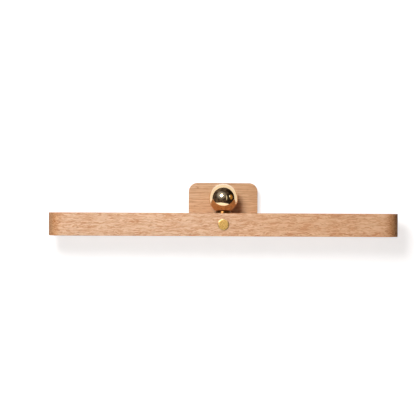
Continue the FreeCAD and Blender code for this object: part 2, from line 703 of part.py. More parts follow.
def cell_connectors():
    """Connectors at the board's two ends, in line with the cells' leads."""
    z_range = (BOARD_TOP_Z, BOARD_TOP_Z + PLUG_BLOCK_HEIGHT)
    y_range = (BALL_Y - PLUG_BLOCK_LENGTH / 2, BALL_Y + PLUG_BLOCK_LENGTH / 2)
    left = block((BOARD_LEFT, BOARD_LEFT + PLUG_BLOCK_WIDTH), y_range, z_range)
    right = block((BOARD_RIGHT - PLUG_BLOCK_WIDTH, BOARD_RIGHT), y_range, z_range)
    return [left, right]


def socket_shell():
    """Rounded steel shell of the charging socket, open towards the bar's back."""
    front_y = socket_front_y()
    y_range = (front_y - SOCKET_LENGTH, front_y)
    shell = capsule_along_y(SOCKET_WIDTH, SOCKET_HEIGHT, y_range, SOCKET_X, SOCKET_Z)
    hollow = capsule_along_y(
        SOCKET_WIDTH - 2 * SOCKET_WALL,
        SOCKET_HEIGHT - 2 * SOCKET_WALL,
        y_range,
        SOCKET_X,
        SOCKET_Z,
    )
    return shell.cut(hollow)


def socket_tongue():
    """Moulded block in the socket's shell with the thin tongue that the plug goes over."""
    front_y = socket_front_y()
    back_y = front_y - SOCKET_LENGTH
    filler = capsule_along_y(
        SOCKET_WIDTH - 2 * SOCKET_WALL,
        SOCKET_HEIGHT - 2 * SOCKET_WALL,
        (back_y, back_y + SOCKET_BLOCK),
        SOCKET_X,
        SOCKET_Z,
    )
    tongue = block(
        (SOCKET_X - TONGUE_WIDTH / 2, SOCKET_X + TONGUE_WIDTH / 2),
        (back_y, front_y - TONGUE_SETBACK),
        (SOCKET_Z - TONGUE_THICKNESS / 2, SOCKET_Z + TONGUE_THICKNESS / 2),
    )
    return filler.fuse(tongue).removeSplitter()


def socket_front_y():
    """Place along Y of the socket's open end, level with the floor of the plug's recess."""
    return BAR_BACK_Y - PLUG_RECESS_DEPTH


def charge_light_inner_y():
    """Place along Y of the charge light's inner end."""
    return POCKET_BACK_Y - CHARGE_LIGHT_REACH


def charge_light():
    """Clear rod that carries the charge diode's light to the bar's back."""
    y_range = (charge_light_inner_y(), BAR_BACK_Y)
    return level(CHARGE_LIGHT_DIAMETER / 2, y_range, CHARGE_LIGHT_X, SOCKET_Z)


def switch_board():
    """Small upright board behind the tact switch, in the main board's notch."""
    half = SWITCH_BOARD_WIDTH / 2
    z_range = (PAD_TOP_Z, BUTTON_Z + SWITCH_SIZE / 2)
    return block((-half, half), (SWITCH_BACK_Y, SWITCH_BOARD_BACK_Y), z_range)


def tact_switch():
    """Housing of the tact switch, bored for its plunger."""
    half = SWITCH_SIZE / 2
    y_range = (SWITCH_FRONT_Y, SWITCH_BACK_Y)
    housing = block((-half, half), y_range, (BUTTON_Z - half, BUTTON_Z + half))
    housing = housing.makeFillet(PART_CORNER / 2, edges_along(housing, Y_AXIS))
    bore_end = SWITCH_FRONT_Y + PLUNGER_HELD + BUTTON_TRAVEL + CLEAR_GAP
    return housing.cut(level(PLUNGER_DIAMETER / 2 + RUNNING_GAP, (SWITCH_FRONT_Y, bore_end), z=BUTTON_Z))


def tact_plunger():
    """Plunger of the tact switch, which the button's stem presses."""
    return level(PLUNGER_DIAMETER / 2, (STEM_END_Y, SWITCH_FRONT_Y + PLUNGER_HELD), z=BUTTON_Z)


def button_cap():
    """Turned brass button: a flat cap with a chamfered edge and a grooved stem."""
    radius = BUTTON_DIAMETER / 2
    stem = BUTTON_STEM_DIAMETER / 2
    groove = CLIP_GROOVE_DIAMETER / 2
    face_y = BAR_FRONT_Y - BUTTON_PROUD
    face_centre = FreeCAD.Vector(0, face_y, BUTTON_Z)
    edges = path_through([
        face_centre,
        FreeCAD.Vector(radius - BUTTON_CHAMFER, face_y, BUTTON_Z),
        FreeCAD.Vector(radius, face_y + BUTTON_CHAMFER, BUTTON_Z),
        FreeCAD.Vector(radius, CAP_BACK_Y, BUTTON_Z),
        FreeCAD.Vector(stem, CAP_BACK_Y, BUTTON_Z),
        FreeCAD.Vector(stem, CLIP_FRONT_Y, BUTTON_Z),
        FreeCAD.Vector(groove, CLIP_FRONT_Y, BUTTON_Z),
        FreeCAD.Vector(groove, CLIP_BACK_Y, BUTTON_Z),
        FreeCAD.Vector(stem, CLIP_BACK_Y, BUTTON_Z),
        FreeCAD.Vector(stem, STEM_END_Y, BUTTON_Z),
        FreeCAD.Vector(0, STEM_END_Y, BUTTON_Z),
        face_centre,
    ])
    return turned(edges, FreeCAD.Vector(0, 0, BUTTON_Z), Y_AXIS)


def button_clip():
    """Open clip in the stem's groove that keeps the button in the bar."""
    y_range = (CLIP_FRONT_Y, CLIP_BACK_Y)
    ring = level(CLIP_DIAMETER / 2, y_range, z=BUTTON_Z)
    hole = level(CLIP_GROOVE_DIAMETER / 2, y_range, z=BUTTON_Z)
    mouth = block((-CLIP_MOUTH / 2, CLIP_MOUTH / 2), y_range, (BUTTON_Z - CLIP_DIAMETER, BUTTON_Z))
    return ring.cut([hole, mouth])


def save(name, solids):
    """Write one sub-part, which may be a group of separate solids."""
    group = solids if isinstance(solids, list) else [solids]
    for solid in group:
        if not solid.isValid() or not solid.isClosed():
            raise ValueError(name + " is not a closed valid solid")
    shape = group[0] if len(group) == 1 else Part.makeCompound(group)
    shape.exportStep(os.path.join("parts", name + ".step"))


def main():
    os.makedirs("parts", exist_ok=True)
    save("wall_plate", wall_plate())
    save("adhesive_pad", adhesive_pad())
    save("neck", neck())
    save("stem_screw", stem_screw())
    save("ball", ball())
    save("seat_collar", seat_collar())
    save("seat_magnet", seat_magnet())
    save("magnet_yoke", magnet_yoke())
    save("seat_retainer", seat_retainer())
    save("retainer_screws", retainer_screws())
    save("bar_body", bar_body())
    save("diffuser", diffuser())
    save("light_tray", light_tray())
    save("tray_screws", tray_screws())
    save("light_strip", light_strip())
    save("diodes", diodes())
    save("strip_leads", strip_leads())
    save("battery_left", battery_cell(-1))
    save("battery_right", battery_cell(1))
    save("cell_pads", cell_pads())
    save("cell_leads", cell_leads())
    save("main_board", main_board())
    save("board_pad", board_pad())
    save("board_parts", board_parts())
    save("socket_shell", socket_shell())
    save("socket_tongue", socket_tongue())
    save("charge_light", charge_light())
    save("switch_board", switch_board())
    save("tact_switch", tact_switch())
    save("tact_plunger", tact_plunger())
    save("button_cap", button_cap())
    save("button_clip", button_clip())


main()
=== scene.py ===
import math

import bmesh
import bpy
from bpy.props import FloatProperty, FloatVectorProperty, IntProperty, PointerProperty
from mathutils import Matrix, Vector


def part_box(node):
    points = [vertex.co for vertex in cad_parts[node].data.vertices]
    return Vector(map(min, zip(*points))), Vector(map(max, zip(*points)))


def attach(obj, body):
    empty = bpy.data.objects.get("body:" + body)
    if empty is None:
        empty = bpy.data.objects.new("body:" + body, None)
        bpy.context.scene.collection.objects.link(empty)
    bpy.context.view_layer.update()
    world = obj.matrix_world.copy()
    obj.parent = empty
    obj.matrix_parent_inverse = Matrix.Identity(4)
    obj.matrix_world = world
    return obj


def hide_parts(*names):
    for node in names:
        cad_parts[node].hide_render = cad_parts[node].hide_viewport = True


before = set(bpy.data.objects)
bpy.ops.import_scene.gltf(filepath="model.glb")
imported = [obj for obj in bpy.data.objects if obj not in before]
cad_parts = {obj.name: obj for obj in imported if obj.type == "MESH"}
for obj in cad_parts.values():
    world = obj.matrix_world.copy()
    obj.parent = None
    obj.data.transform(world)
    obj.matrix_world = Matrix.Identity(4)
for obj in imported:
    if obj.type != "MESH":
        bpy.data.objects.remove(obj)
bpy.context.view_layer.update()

bl_info = {
    "name": "Magnetic Wall Light",
    "version": (1, 0, 0),
    "blender": (4, 5, 0),
    "location": "View3D > Sidebar > Wall Light",
    "description": "Dresses a wooden wall light that hangs by a magnet from a plated ball",
    "category": "Object",
}

MM = 0.001
TURN = 2 * math.pi


class Box:
    """Corners, middle and half sizes of a CAD node at rest, in metres."""

    def __init__(self, low, high):
        self.low, self.high = low, high
        self.middle = (low + high) / 2
        self.half_x, self.half_y, self.half_z = ((b - a) / 2 for a, b in zip(low, high))


# The wall is the plane y = 0, and the light stands off it towards -Y.
BALL = Box(*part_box("ball"))
BAR = Box(*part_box("bar_body"))
PLATE = Box(*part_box("wall_plate"))
NECK = Box(*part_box("neck"))
STEM_SCREW = Box(*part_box("stem_screw"))
COLLAR = Box(*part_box("seat_collar"))
MAGNET = Box(*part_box("seat_magnet"))
RETAINER = Box(*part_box("seat_retainer"))
RETAINER_SCREWS = Box(*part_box("retainer_screws"))
TRAY = Box(*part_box("light_tray"))
TRAY_SCREWS = Box(*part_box("tray_screws"))
DIODES = Box(*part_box("diodes"))
DIFFUSER = Box(*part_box("diffuser"))
BUTTON = Box(*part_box("button_cap"))
CLIP = Box(*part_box("button_clip"))
SOCKET = Box(*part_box("socket_shell"))
ROD = Box(*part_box("charge_light"))
BALL_CENTRE = BALL.middle

# Clearances
RUNNING_GAP = 0.05 * MM
FIT_GAP = 0.15 * MM
CLEAR_GAP = 0.3 * MM
CUP_RADIUS = BALL.half_x + RUNNING_GAP
CUTTER_REACH = 1.0 * MM         # how far a cutter passes what it opens

# Wooden bar, plate and opal cover
BAR_CORNER = 14.0 * MM
RIM_WIDTH = 3.0 * MM            # wood around the cover
LEDGE = 1.5 * MM                # step of the cover's rebate, and of the tray's seat
POCKET_WALL = RIM_WIDTH + 2 * LEDGE
POCKET_END = 14.0 * MM          # wood at each end of the pocket
PLATE_CORNER = 7.5 * MM
PLATE_BACK_EASE = 0.2 * MM
RIB_HEIGHT = 1.0 * MM
RIB_WALL = 1.0 * MM
COVER_EASE = 0.35 * MM
COVER_TOP_EASE = 0.1 * MM
COVER_TOP = DIFFUSER.high.z - RIB_HEIGHT

# Neck between the plate and the ball
SPIGOT_RADIUS = 3.5 * MM
NECK_BASE_THICKNESS = 1.0 * MM
NECK_WAIST_RADIUS = 4.5 * MM
NECK_RIM_RADIUS = 5.6 * MM
WAIST_STEPS = 24
STEM_SCREW_RADIUS = 2.0 * MM
STEM_SCREW_HEAD_RADIUS = 3.8 * MM

# Magnetic seat
COLLAR_RADIUS = 6.6 * MM
LIP_RADIUS = 3.9 * MM
FLANGE_THICKNESS = 1.2 * MM
FLANGE_COVER = 2.7 * MM         # wood over the flange
FLANGE_TOP = BAR.high.z - FLANGE_COVER
BARREL_RADIUS = 5.55 * MM
TURNED_EASE = 0.25 * MM         # rounding of turned edges
RIM_BEND = (0.3, 0.25)          # middle of the collar's rounded rim, in shares of the rounding

# Button. Its edge is given as insets from the rim and depths from the face, in millimetres.
BUTTON_EDGE = ((0.60, 0.0), (0.54, 0.006), (0.10, 0.135), (0.03, 0.20), (0.0, 0.32))
BUTTON_BODY = 1.7 * MM
BUTTON_TRAVEL = 0.5 * MM
BUTTON_STEM_RADIUS = 1.5 * MM
BUTTON_GROOVE_RADIUS = 1.1 * MM

# Charging socket's openings in the bar's back
RECESS_DEPTH = 1.0 * MM
RECESS_MARGIN = 2.0 * MM
RELIEF_MARGIN = 2.5 * MM
RELIEF_WALL = 2.4 * MM
CAPSULE_FLAT = 0.001 * MM       # left flat between the rounded corners of an opening's end

# Small screws
SCREW_RADIUS = 1.0 * MM
SCREW_TIP = 0.5 * MM
SCREW_TIP_RADIUS = 0.4 * MM
SCREW_HEAD_RADIUS = 1.8 * MM
SCREW_HEAD_EASE = 0.2 * MM
TRAY_SCREW_HEAD = 1.2 * MM
TRAY_SCREW_X = TRAY_SCREWS.high.x - SCREW_HEAD_RADIUS
RETAINER_SCREW_HEAD = 1.0 * MM
RETAINER_SCREW_X = 13.0 * MM
SLOT_WIDTH = 0.6 * MM
SLOT_DEPTH = 0.4 * MM

# Diodes
DIODE_LENGTH = 3.5 * MM
DIODE_PITCH = 7.8 * MM
DIODE_CORNER = 0.3 * MM
DIODE_EASES = (0.08 * MM, 0.02 * MM)
DISH_RADIUS = 1.1 * MM
DISH_REACH = 0.2 * MM           # how far the dish's cutter passes the package
DISH_DEPTH = 0.12 * MM
DISH_TAPER = 0.85
DISH_STEPS = 20
PHOSPHOR_RADII = (0.86 * DISH_RADIUS, 0.84 * DISH_RADIUS)
PHOSPHOR_DEPTHS = (0.06 * MM, 0.2 * MM)

# Detail of the wood along and across its grain, in features per metre
BOWS = (9, 34, 34)
RIPPLES = (120, 300, 300)
PATCHES = (70, 560, 560)
DASHES = (80, 1250, 1250)
THREADS = (26, 900, 900)
FLECKS = (95, 1100, 1100)
SPECKS = (330, 560, 560)
FIBRES = (70, 1500, 1500)
BANDS = (7, 30, 30)
BOW_REACH = 0.014
HEART = (0.0, 0.055, -0.11)     # a point on the axis of the growth rings
PAINTED_WARM_SPAN = (-0.03, 0.08)       # where along X the painted warm light comes in

# Stage. The floor's front edge is given as shares of its drop, across and out from the ball.
WALL_Y = 0.5 * MM
WALL_REACH = 1.5
SEEN_SHARE = 0.5                # matt share and glow of the wall and floor as the camera sees them
SEEN_GLOW = (0.735, 0.71, 0.70)
MIRRORED_SHARE = 0.45           # their matt share in reflections
FLOOR_FRONT = ((-1.83, 0.6), (-0.7, 1.5), (0.0, 1.45), (0.8, 1.0), (1.14, 0.4))
TOWARDS_KEY = Vector((-0.26, -0.88, 0.39)).normalized()
TOWARDS_BROAD = Vector((-0.16, -1.0, 0.30))
BACK_LAMP_PLACE = (0.0, 1.1, -0.1)
SOFT_LAMP_SIZE = 1.0
ROOM_RADIUS = 1.45
ROOM_HOLE = 0.25                # hole in the card before the wall
ROOM_STEPS = 48
CAMERA_X = -13.2 * MM
CAMERA_Z = -8.24 * MM
CAMERA_TURN = math.radians(0.28)
SENSOR_WIDTH = 36               # millimetres

# Soft cards in the dim room: azimuth and height, half width and half height, all in degrees,
# then the share of the card that is soft, and its colour
ROOM_CARDS = (
    ((-20, 27), (48, 40), 1.0, (0.60, 0.72, 0.88)),     # halo round the key lamp
    ((25, 7), (6, 26), 0.6, (0.72, 0.74, 0.68)),        # pale strip
    ((63, 10), (18, 21), 0.5, (0.42, 0.22, 0.05)),      # warm window
    ((51, 16), (6, 8), 0.5, (1.3, 1.45, 1.3)),          # spark in the window
)


def screen(red, green, blue):
    """Shader colour from the three numbers of a screen colour, 0 to 255."""
    channels = []
    for value in (red, green, blue):
        share = value / 255
        channels.append(share / 12.92 if share <= 0.04045 else ((share + 0.055) / 1.055) ** 2.4)
    return tuple(channels)


def scaled(colour, red, green=None, blue=None):
    """Colour with its channels scaled by one factor, or by one factor each."""
    factors = (red, red, red) if green is None else (red, green, blue)
    return tuple(min(1.0, channel * factor) for channel, factor in zip(colour, factors))


def colour_property(name, description, default):
    return FloatVectorProperty(
        name=name, description=description, default=default, subtype="COLOR", size=3, min=0, max=1
    )


def length_property(name, description, default):
    return FloatProperty(
        name=name, description=description, default=default, min=0, unit="LENGTH",
        subtype="DISTANCE",
    )


def power_property(name, description, default):
    return FloatProperty(name=name, description=description, default=default, min=0, unit="POWER")


class WoodSettings(bpy.types.PropertyGroup):
    """Oiled beech of the bar and the wall plate."""

    colour: colour_property("Colour", "Pale wood between the grain lines", screen(236, 196, 162))
    grain_colour: colour_property("Grain", "Late wood of the growth rings", screen(202, 139, 96))
    fleck_colour: colour_property("Flecks", "Short dark flecks of the rays", screen(168, 104, 64))
    plate_colour: colour_property("Plate Colour", "Pale wood of the plate", screen(225, 184, 146))
    plate_grain: colour_property("Plate Grain", "Grain lines of the plate", screen(192, 140, 97))
    # Painted light: a warmer, darker tint towards the right stands in for warm light and the key
    # lamp's falloff
    painted_warm_light: colour_property("Painted Warm Light", "Tint towards the right", (1.0, 0.93, 0.84))
    # Painted shade: the bar's top and bottom faces are tinted darker and warmer
    level_face_shade: colour_property("Painted Level Shade", "Tint of the bar's level faces", (0.86, 0.70, 0.56))
    # Painted shade and warm bounce along the rounded edges
    edge_shade_colour: colour_property("Edges", "Wood along the rounded edges", screen(214, 150, 100))
    # End grain, whose darker tint also paints the shade on the rounded ends
    end_grain_and_shade: colour_property("End Grain And Shade", "Tint of the rounded ends", (0.91, 0.75, 0.57))
    ring_spacing: length_property("Ring Spacing", "Distance between growth rings", 1.35 * MM)
    rounding: length_property("Rounding", "Radius of the wood's outer edges", 0.45 * MM)


class MetalSettings(bpy.types.PropertyGroup):
    """Plated ball, turned brass and the button."""

    gold: colour_property("Gold Plate", "Mirror plating of the ball", (0.91, 0.67, 0.40))
    brass: colour_property("Brass", "Turned brass of the neck", (0.60, 0.37, 0.14))
    # Painted shade: the collar's brass is made dark to stand in for the shade under the ball
    shaded_brass: colour_property("Shaded Brass", "Darkened brass of the collar", (0.15, 0.065, 0.018))
    button: colour_property("Button", "Satin brass of the button", (0.63, 0.385, 0.102))
    steel: colour_property("Steel", "Plated steel of the hidden fittings", (0.62, 0.63, 0.65))
    steps: IntProperty(
        name="Steps", description="Facets round a turned piece", default=128, min=24, max=256
    )


class StageSettings(bpy.types.PropertyGroup):
    """Wall, floor, lamps and camera."""

    key_power: power_property("Key Power", "Power of the round key lamp", 5.5)
    key_distance: length_property("Key Distance", "From the ball to the key lamp", 0.8)
    key_size: length_property("Key Size", "Diameter of the key lamp", 0.27)
    soft_power: power_property("Soft Power", "Power of the broad lamp in front", 1.35)
    back_power: power_property("Back Power", "Power of the lamp behind the wall", 3.2)
    fill: FloatProperty(
        name="Fill", description="Strength of the even light from all sides", default=0.012, min=0
    )
    floor_drop: length_property("Floor Drop", "From the ball's centre down to the floor", 0.30)
    camera_distance: length_property("Camera Distance", "From the wall to the camera", 1.2)
    lens: FloatProperty(
        name="Lens", description="Focal length in millimetres", default=117.9, min=1
    )


class WallLightSettings(bpy.types.PropertyGroup):
    """Everything that can be set on the wall light."""

    wood: PointerProperty(type=WoodSettings)
    metal: PointerProperty(type=MetalSettings)
    stage: PointerProperty(type=StageSettings)


# Mesh helpers

def arc(centre, radius, start, end, steps):
    """Points along an arc between two angles in degrees, about a centre."""
    points = []
    for k in range(steps + 1):
        angle = math.radians(start + (end - start) * k / steps)
        points.append((centre[0] + radius * math.cos(angle), centre[1] + radius * math.sin(angle)))
    return points


def add_object(name, bm, material):
    """Object made from a bmesh as it is."""
    mesh = bpy.data.meshes.new(name)
    bm.to_mesh(mesh)
    bm.free()
    if material is not None:
        mesh.materials.append(material)
    piece = bpy.data.objects.new(name, mesh)
    bpy.context.scene.collection.objects.link(piece)
    return piece


def add_piece(name, bm, material):
    """Object made from a bmesh, with its faces outward and its curved faces smooth."""
    bmesh.ops.remove_doubles(bm, verts=bm.verts, dist=1e-7)
    bmesh.ops.recalc_face_normals(bm, faces=bm.faces)
    piece = add_object(name, bm, material)
    smooth(piece.data)
    return piece


def smooth(mesh, sharpest=35):
    """Smooth shading, apart from edges sharper than an angle in degrees."""
    mesh.shade_smooth()
    mesh.set_sharp_from_angle(angle=math.radians(sharpest))


def along_y(centre):
    """Place on a turned piece whose axis runs along Y: radius, height and turn to a point."""
    return lambda radius, height, angle: Vector(
        (centre.x + radius * math.cos(angle), height, centre.z + radius * math.sin(angle))
    )


def along_z(centre):
    """Place on a turned piece whose axis runs along Z: radius, height and turn to a point."""
    return lambda radius, height, angle: Vector(
        (centre.x + radius * math.cos(angle), centre.y + radius * math.sin(angle), height)
    )


def turned(name, profile, place, steps, material=None, ring=False):
    """Turned piece. The profile is (radius, height) points, or a loop of them for a ring."""
    bm = bmesh.new()
    rows = []
    for radius, height in profile:
        if radius < 1e-9:
            rows.append([bm.verts.new(place(0, height, 0))] * steps)
        else:
            spots = [place(radius, height, TURN * k / steps) for k in range(steps)]
            rows.append([bm.verts.new(spot) for spot in spots])
    pairs = list(zip(rows, rows[1:]))
    if ring:
        pairs.append((rows[-1], rows[0]))
    for low, high in pairs:
        for k in range(steps):
            following = (k + 1) % steps
            corners = (low[k], low[following], high[following], high[k])
            corners = tuple(dict.fromkeys(corners))
            if len(corners) > 2:
                bm.faces.new(corners)
    return add_piece(name, bm, material)


def stepped(start, *sections):
    """Profile of cylinders in a row. Each section is (radius, end)."""
    points = []
    for radius, end in sections:
        points += [(radius, start), (radius, end)]
        start = end
    return points


def rounded_outline(half_width, half_height, corner, steps):
    """Rectangle with round corners, anticlockwise."""
    points = []
    for k, (side_u, side_v) in enumerate(((1, 1), (-1, 1), (-1, -1), (1, -1))):
        centre = (side_u * (half_width - corner), side_v * (half_height - corner))
        points += arc(centre, corner, 90 * k, 90 * (k + 1), steps)
    return points


def rounded_solid(name, half_width, half_height, corner, levels, place, material=None, steps=20):
    """Solid built up from rounded outlines. Each level is (inset, height)."""
    bm = bmesh.new()
    rows = []
    for inset, height in levels:
        outline = rounded_outline(half_width - inset, half_height - inset, corner - inset, steps)
        rows.append([bm.verts.new(place(u, v, height)) for u, v in outline])
    count = len(rows[0])
    for low, high in zip(rows, rows[1:]):
        for k in range(count):
            following = (k + 1) % count
            bm.faces.new((low[k], low[following], high[following], high[k]))
    bm.faces.new(rows[0])
    bm.faces.new(rows[-1])
    return add_piece(name, bm, material)


def eased_levels(low, high, ease_low, ease_high, steps=6):
    """Levels of a solid between two heights whose lower and upper edges are rounded."""
    turns = [TURN / 4 * k / steps for k in range(steps + 1)]
    rising = [(ease_low * (1 - math.sin(t)), low + ease_low * (1 - math.cos(t))) for t in turns]
    closing = [(ease_high * (1 - math.cos(t)), high - ease_high * (1 - math.sin(t))) for t in turns]
    return rising + closing


def block(name, low, high):
    """Plain box between two corners, used as a cutter."""
    bm = bmesh.new()
    size = Vector(high) - Vector(low)
    middle = Matrix.Translation((Vector(high) + Vector(low)) / 2)
    bmesh.ops.create_cube(bm, size=1.0, matrix=middle @ Matrix.Diagonal((*size, 1)))
    return add_piece(name, bm, None)


def bore(name, radius, place, low, high, steps=64):
    """Round cutter between two heights."""
    return turned(name, [(0, low), (radius, low), (radius, high), (0, high)], place, steps)


def carve(piece, cutters):
    """Cut the cutters out of a piece and remove them."""
    for cutter in cutters:
        cut = piece.modifiers.new("Cut", "BOOLEAN")
        cut.operation = "DIFFERENCE"
        cut.solver = "EXACT"
        cut.object = cutter
    keep_result(piece)
    for cutter in cutters:
        bpy.data.objects.remove(cutter)
    return piece


def keep_result(piece):
    """Replace a piece's mesh by what its modifiers make of it, and remove them."""
    depsgraph = bpy.context.evaluated_depsgraph_get()
    result = bpy.data.meshes.new_from_object(piece.evaluated_get(depsgraph))
    piece.modifiers.clear()
    piece.data = result
    smooth(result)


def on_bar(u, v, w):
    """Place on the bar from its middle."""
    return Vector((u, BALL_CENTRE.y + v, w))


def on_plate(u, v, w):
    """Place on the wall plate from its middle."""
    return Vector((u, w, PLATE.middle.z + v))


# Node helpers

class Nodes:
    """Node tree being filled. The short methods add a node and give its output."""

    def __init__(self, tree):
        self.tree = tree
        tree.nodes.clear()

    def add(self, kind, values=None, **settings):
        """Node with its settings, and its inputs linked to sockets or set to values."""
        node = self.tree.nodes.new(kind)
        for key, value in settings.items():
            setattr(node, key, value)
        for key, value in (values or {}).items():
            self.connect(node.inputs[key], value)
        return node

    def connect(self, socket, value):
        """Link a socket, or set its own value. A colour gets its fourth channel."""
        if isinstance(value, bpy.types.NodeSocket):
            self.tree.links.new(value, socket)
        elif socket.type == "RGBA":
            socket.default_value = (*value[:3], 1.0)
        else:
            socket.default_value = value

    def coordinates(self, output="Object"):
        return self.add("ShaderNodeTexCoord").outputs[output]

    def place(self, scale=(1, 1, 1), shift=(0, 0, 0)):
        """Object coordinates, scaled and shifted."""
        values = {"Vector": self.coordinates(), "Location": shift, "Scale": scale}
        return self.add("ShaderNodeMapping", values).outputs["Vector"]

    def maths(self, operation, first, second=0.0, clamp=False):
        values = {0: first, 1: second}
        return self.add("ShaderNodeMath", values, operation=operation, use_clamp=clamp).outputs[0]

    def vector(self, operation, first, second=(0, 0, 0)):
        node = self.add("ShaderNodeVectorMath", {0: first, 1: second}, operation=operation)
        return node.outputs["Value" if operation in ("LENGTH", "DOT_PRODUCT") else "Vector"]

    def split(self, vector):
        return self.add("ShaderNodeSeparateXYZ", {"Vector": vector}).outputs

    def join(self, x=0.0, y=0.0, z=0.0):
        return self.add("ShaderNodeCombineXYZ", {"X": x, "Y": y, "Z": z}).outputs["Vector"]

    def grey(self, value):
        return self.join(value, value, value)

    def facing(self, axis):
        """How far a surface faces along an axis of the object, either way."""
        return self.maths("ABSOLUTE", self.split(self.coordinates("Normal"))[axis])

    def noise(self, vector, scale=1.0, detail=2.0, roughness=0.5, output="Fac"):
        """Noise at one scale, or at one along each axis."""
        if isinstance(scale, tuple):
            vector, scale = self.vector("MULTIPLY", vector, scale), 1.0
        values = {"Vector": vector, "Scale": scale, "Detail": detail, "Roughness": roughness}
        return self.add("ShaderNodeTexNoise", values).outputs[output]

    def cells(self, vector, scale=1.0, **settings):
        values = {"Vector": vector, "Scale": scale}
        return self.add("ShaderNodeTexVoronoi", values, **settings).outputs

    def ramp(self, factor, low, high, start=0.0, end=1.0, kind="SMOOTHSTEP"):
        """A factor mapped from one range to another, clamped."""
        values = {
            "Value": factor, "From Min": low, "From Max": high, "To Min": start, "To Max": end
        }
        return self.add("ShaderNodeMapRange", values, interpolation_type=kind).outputs["Result"]

    def spread(self, factor, start, end, low=0.3, high=0.7):
        """A noise's usual range mapped evenly to another."""
        return self.ramp(factor, low, high, start, end, "LINEAR")

    def blend(self, factor, first, second, mode="MIX"):
        """Two colours mixed by a factor."""
        values = {0: factor, 6: first, 7: second}
        return self.add("ShaderNodeMix", values, data_type="RGBA", blend_type=mode).outputs[2]

    def tint(self, factor, colour, tint):
        """Colour multiplied by a tint."""
        return self.blend(factor, colour, tint, "MULTIPLY")

    def mix_shader(self, factor, first, second):
        return self.add("ShaderNodeMixShader", {0: factor, 1: first, 2: second}).outputs[0]

    def wander(self, place, scale, reach):
        """Offset that wanders across the grain, either way, by up to about half a reach."""
        drift = self.noise(place, scale, output="Color")
        drift = self.vector("SUBTRACT", drift, (0.5, 0.5, 0.5))
        return self.vector("MULTIPLY", drift, (0.0, reach, reach))

    def marks(self, place, scale, rarity, strength):
        """Factor of scattered small marks, each in its own cell."""
        cells = self.cells(self.vector("MULTIPLY", place, scale))
        chosen = self.ramp(cells["Color"], rarity, rarity + 0.07, 0.0, strength)
        return self.maths("MULTIPLY", self.ramp(cells["Distance"], 0.36, 0.10), chosen)


# Keywords of Finish.principled and the inputs that they set
INPUT_NAMES = {
    "metallic": "Metallic", "specular": "Specular IOR Level", "ior": "IOR",
    "transmission": "Transmission Weight", "subsurface": "Subsurface Weight",
    "subsurface_radius": "Subsurface Radius", "subsurface_scale": "Subsurface Scale",
}


class Finish(Nodes):
    """Material being made."""

    def __init__(self, name):
        self.material = bpy.data.materials.new(name)
        self.material.use_nodes = True
        super().__init__(self.material.node_tree)

    def surface(self, socket):
        """Put a shader on the output. Gives the material."""
        self.add("ShaderNodeOutputMaterial", {"Surface": socket})
        return self.material

    def principled(self, colour, roughness, relief=None, depth=0.01 * MM, strength=0.3, **inputs):
        """Principled surface with a bump of a depth in metres. Gives the material."""
        values = {"Base Color": colour, "Roughness": roughness}
        if relief is not None:
            bump = {"Height": relief, "Distance": depth, "Strength": strength}
            values["Normal"] = self.add("ShaderNodeBump", bump).outputs["Normal"]
        for key, value in inputs.items():
            values[INPUT_NAMES[key]] = value
        return self.surface(self.add("ShaderNodeBsdfPrincipled", values).outputs["BSDF"])


# Materials

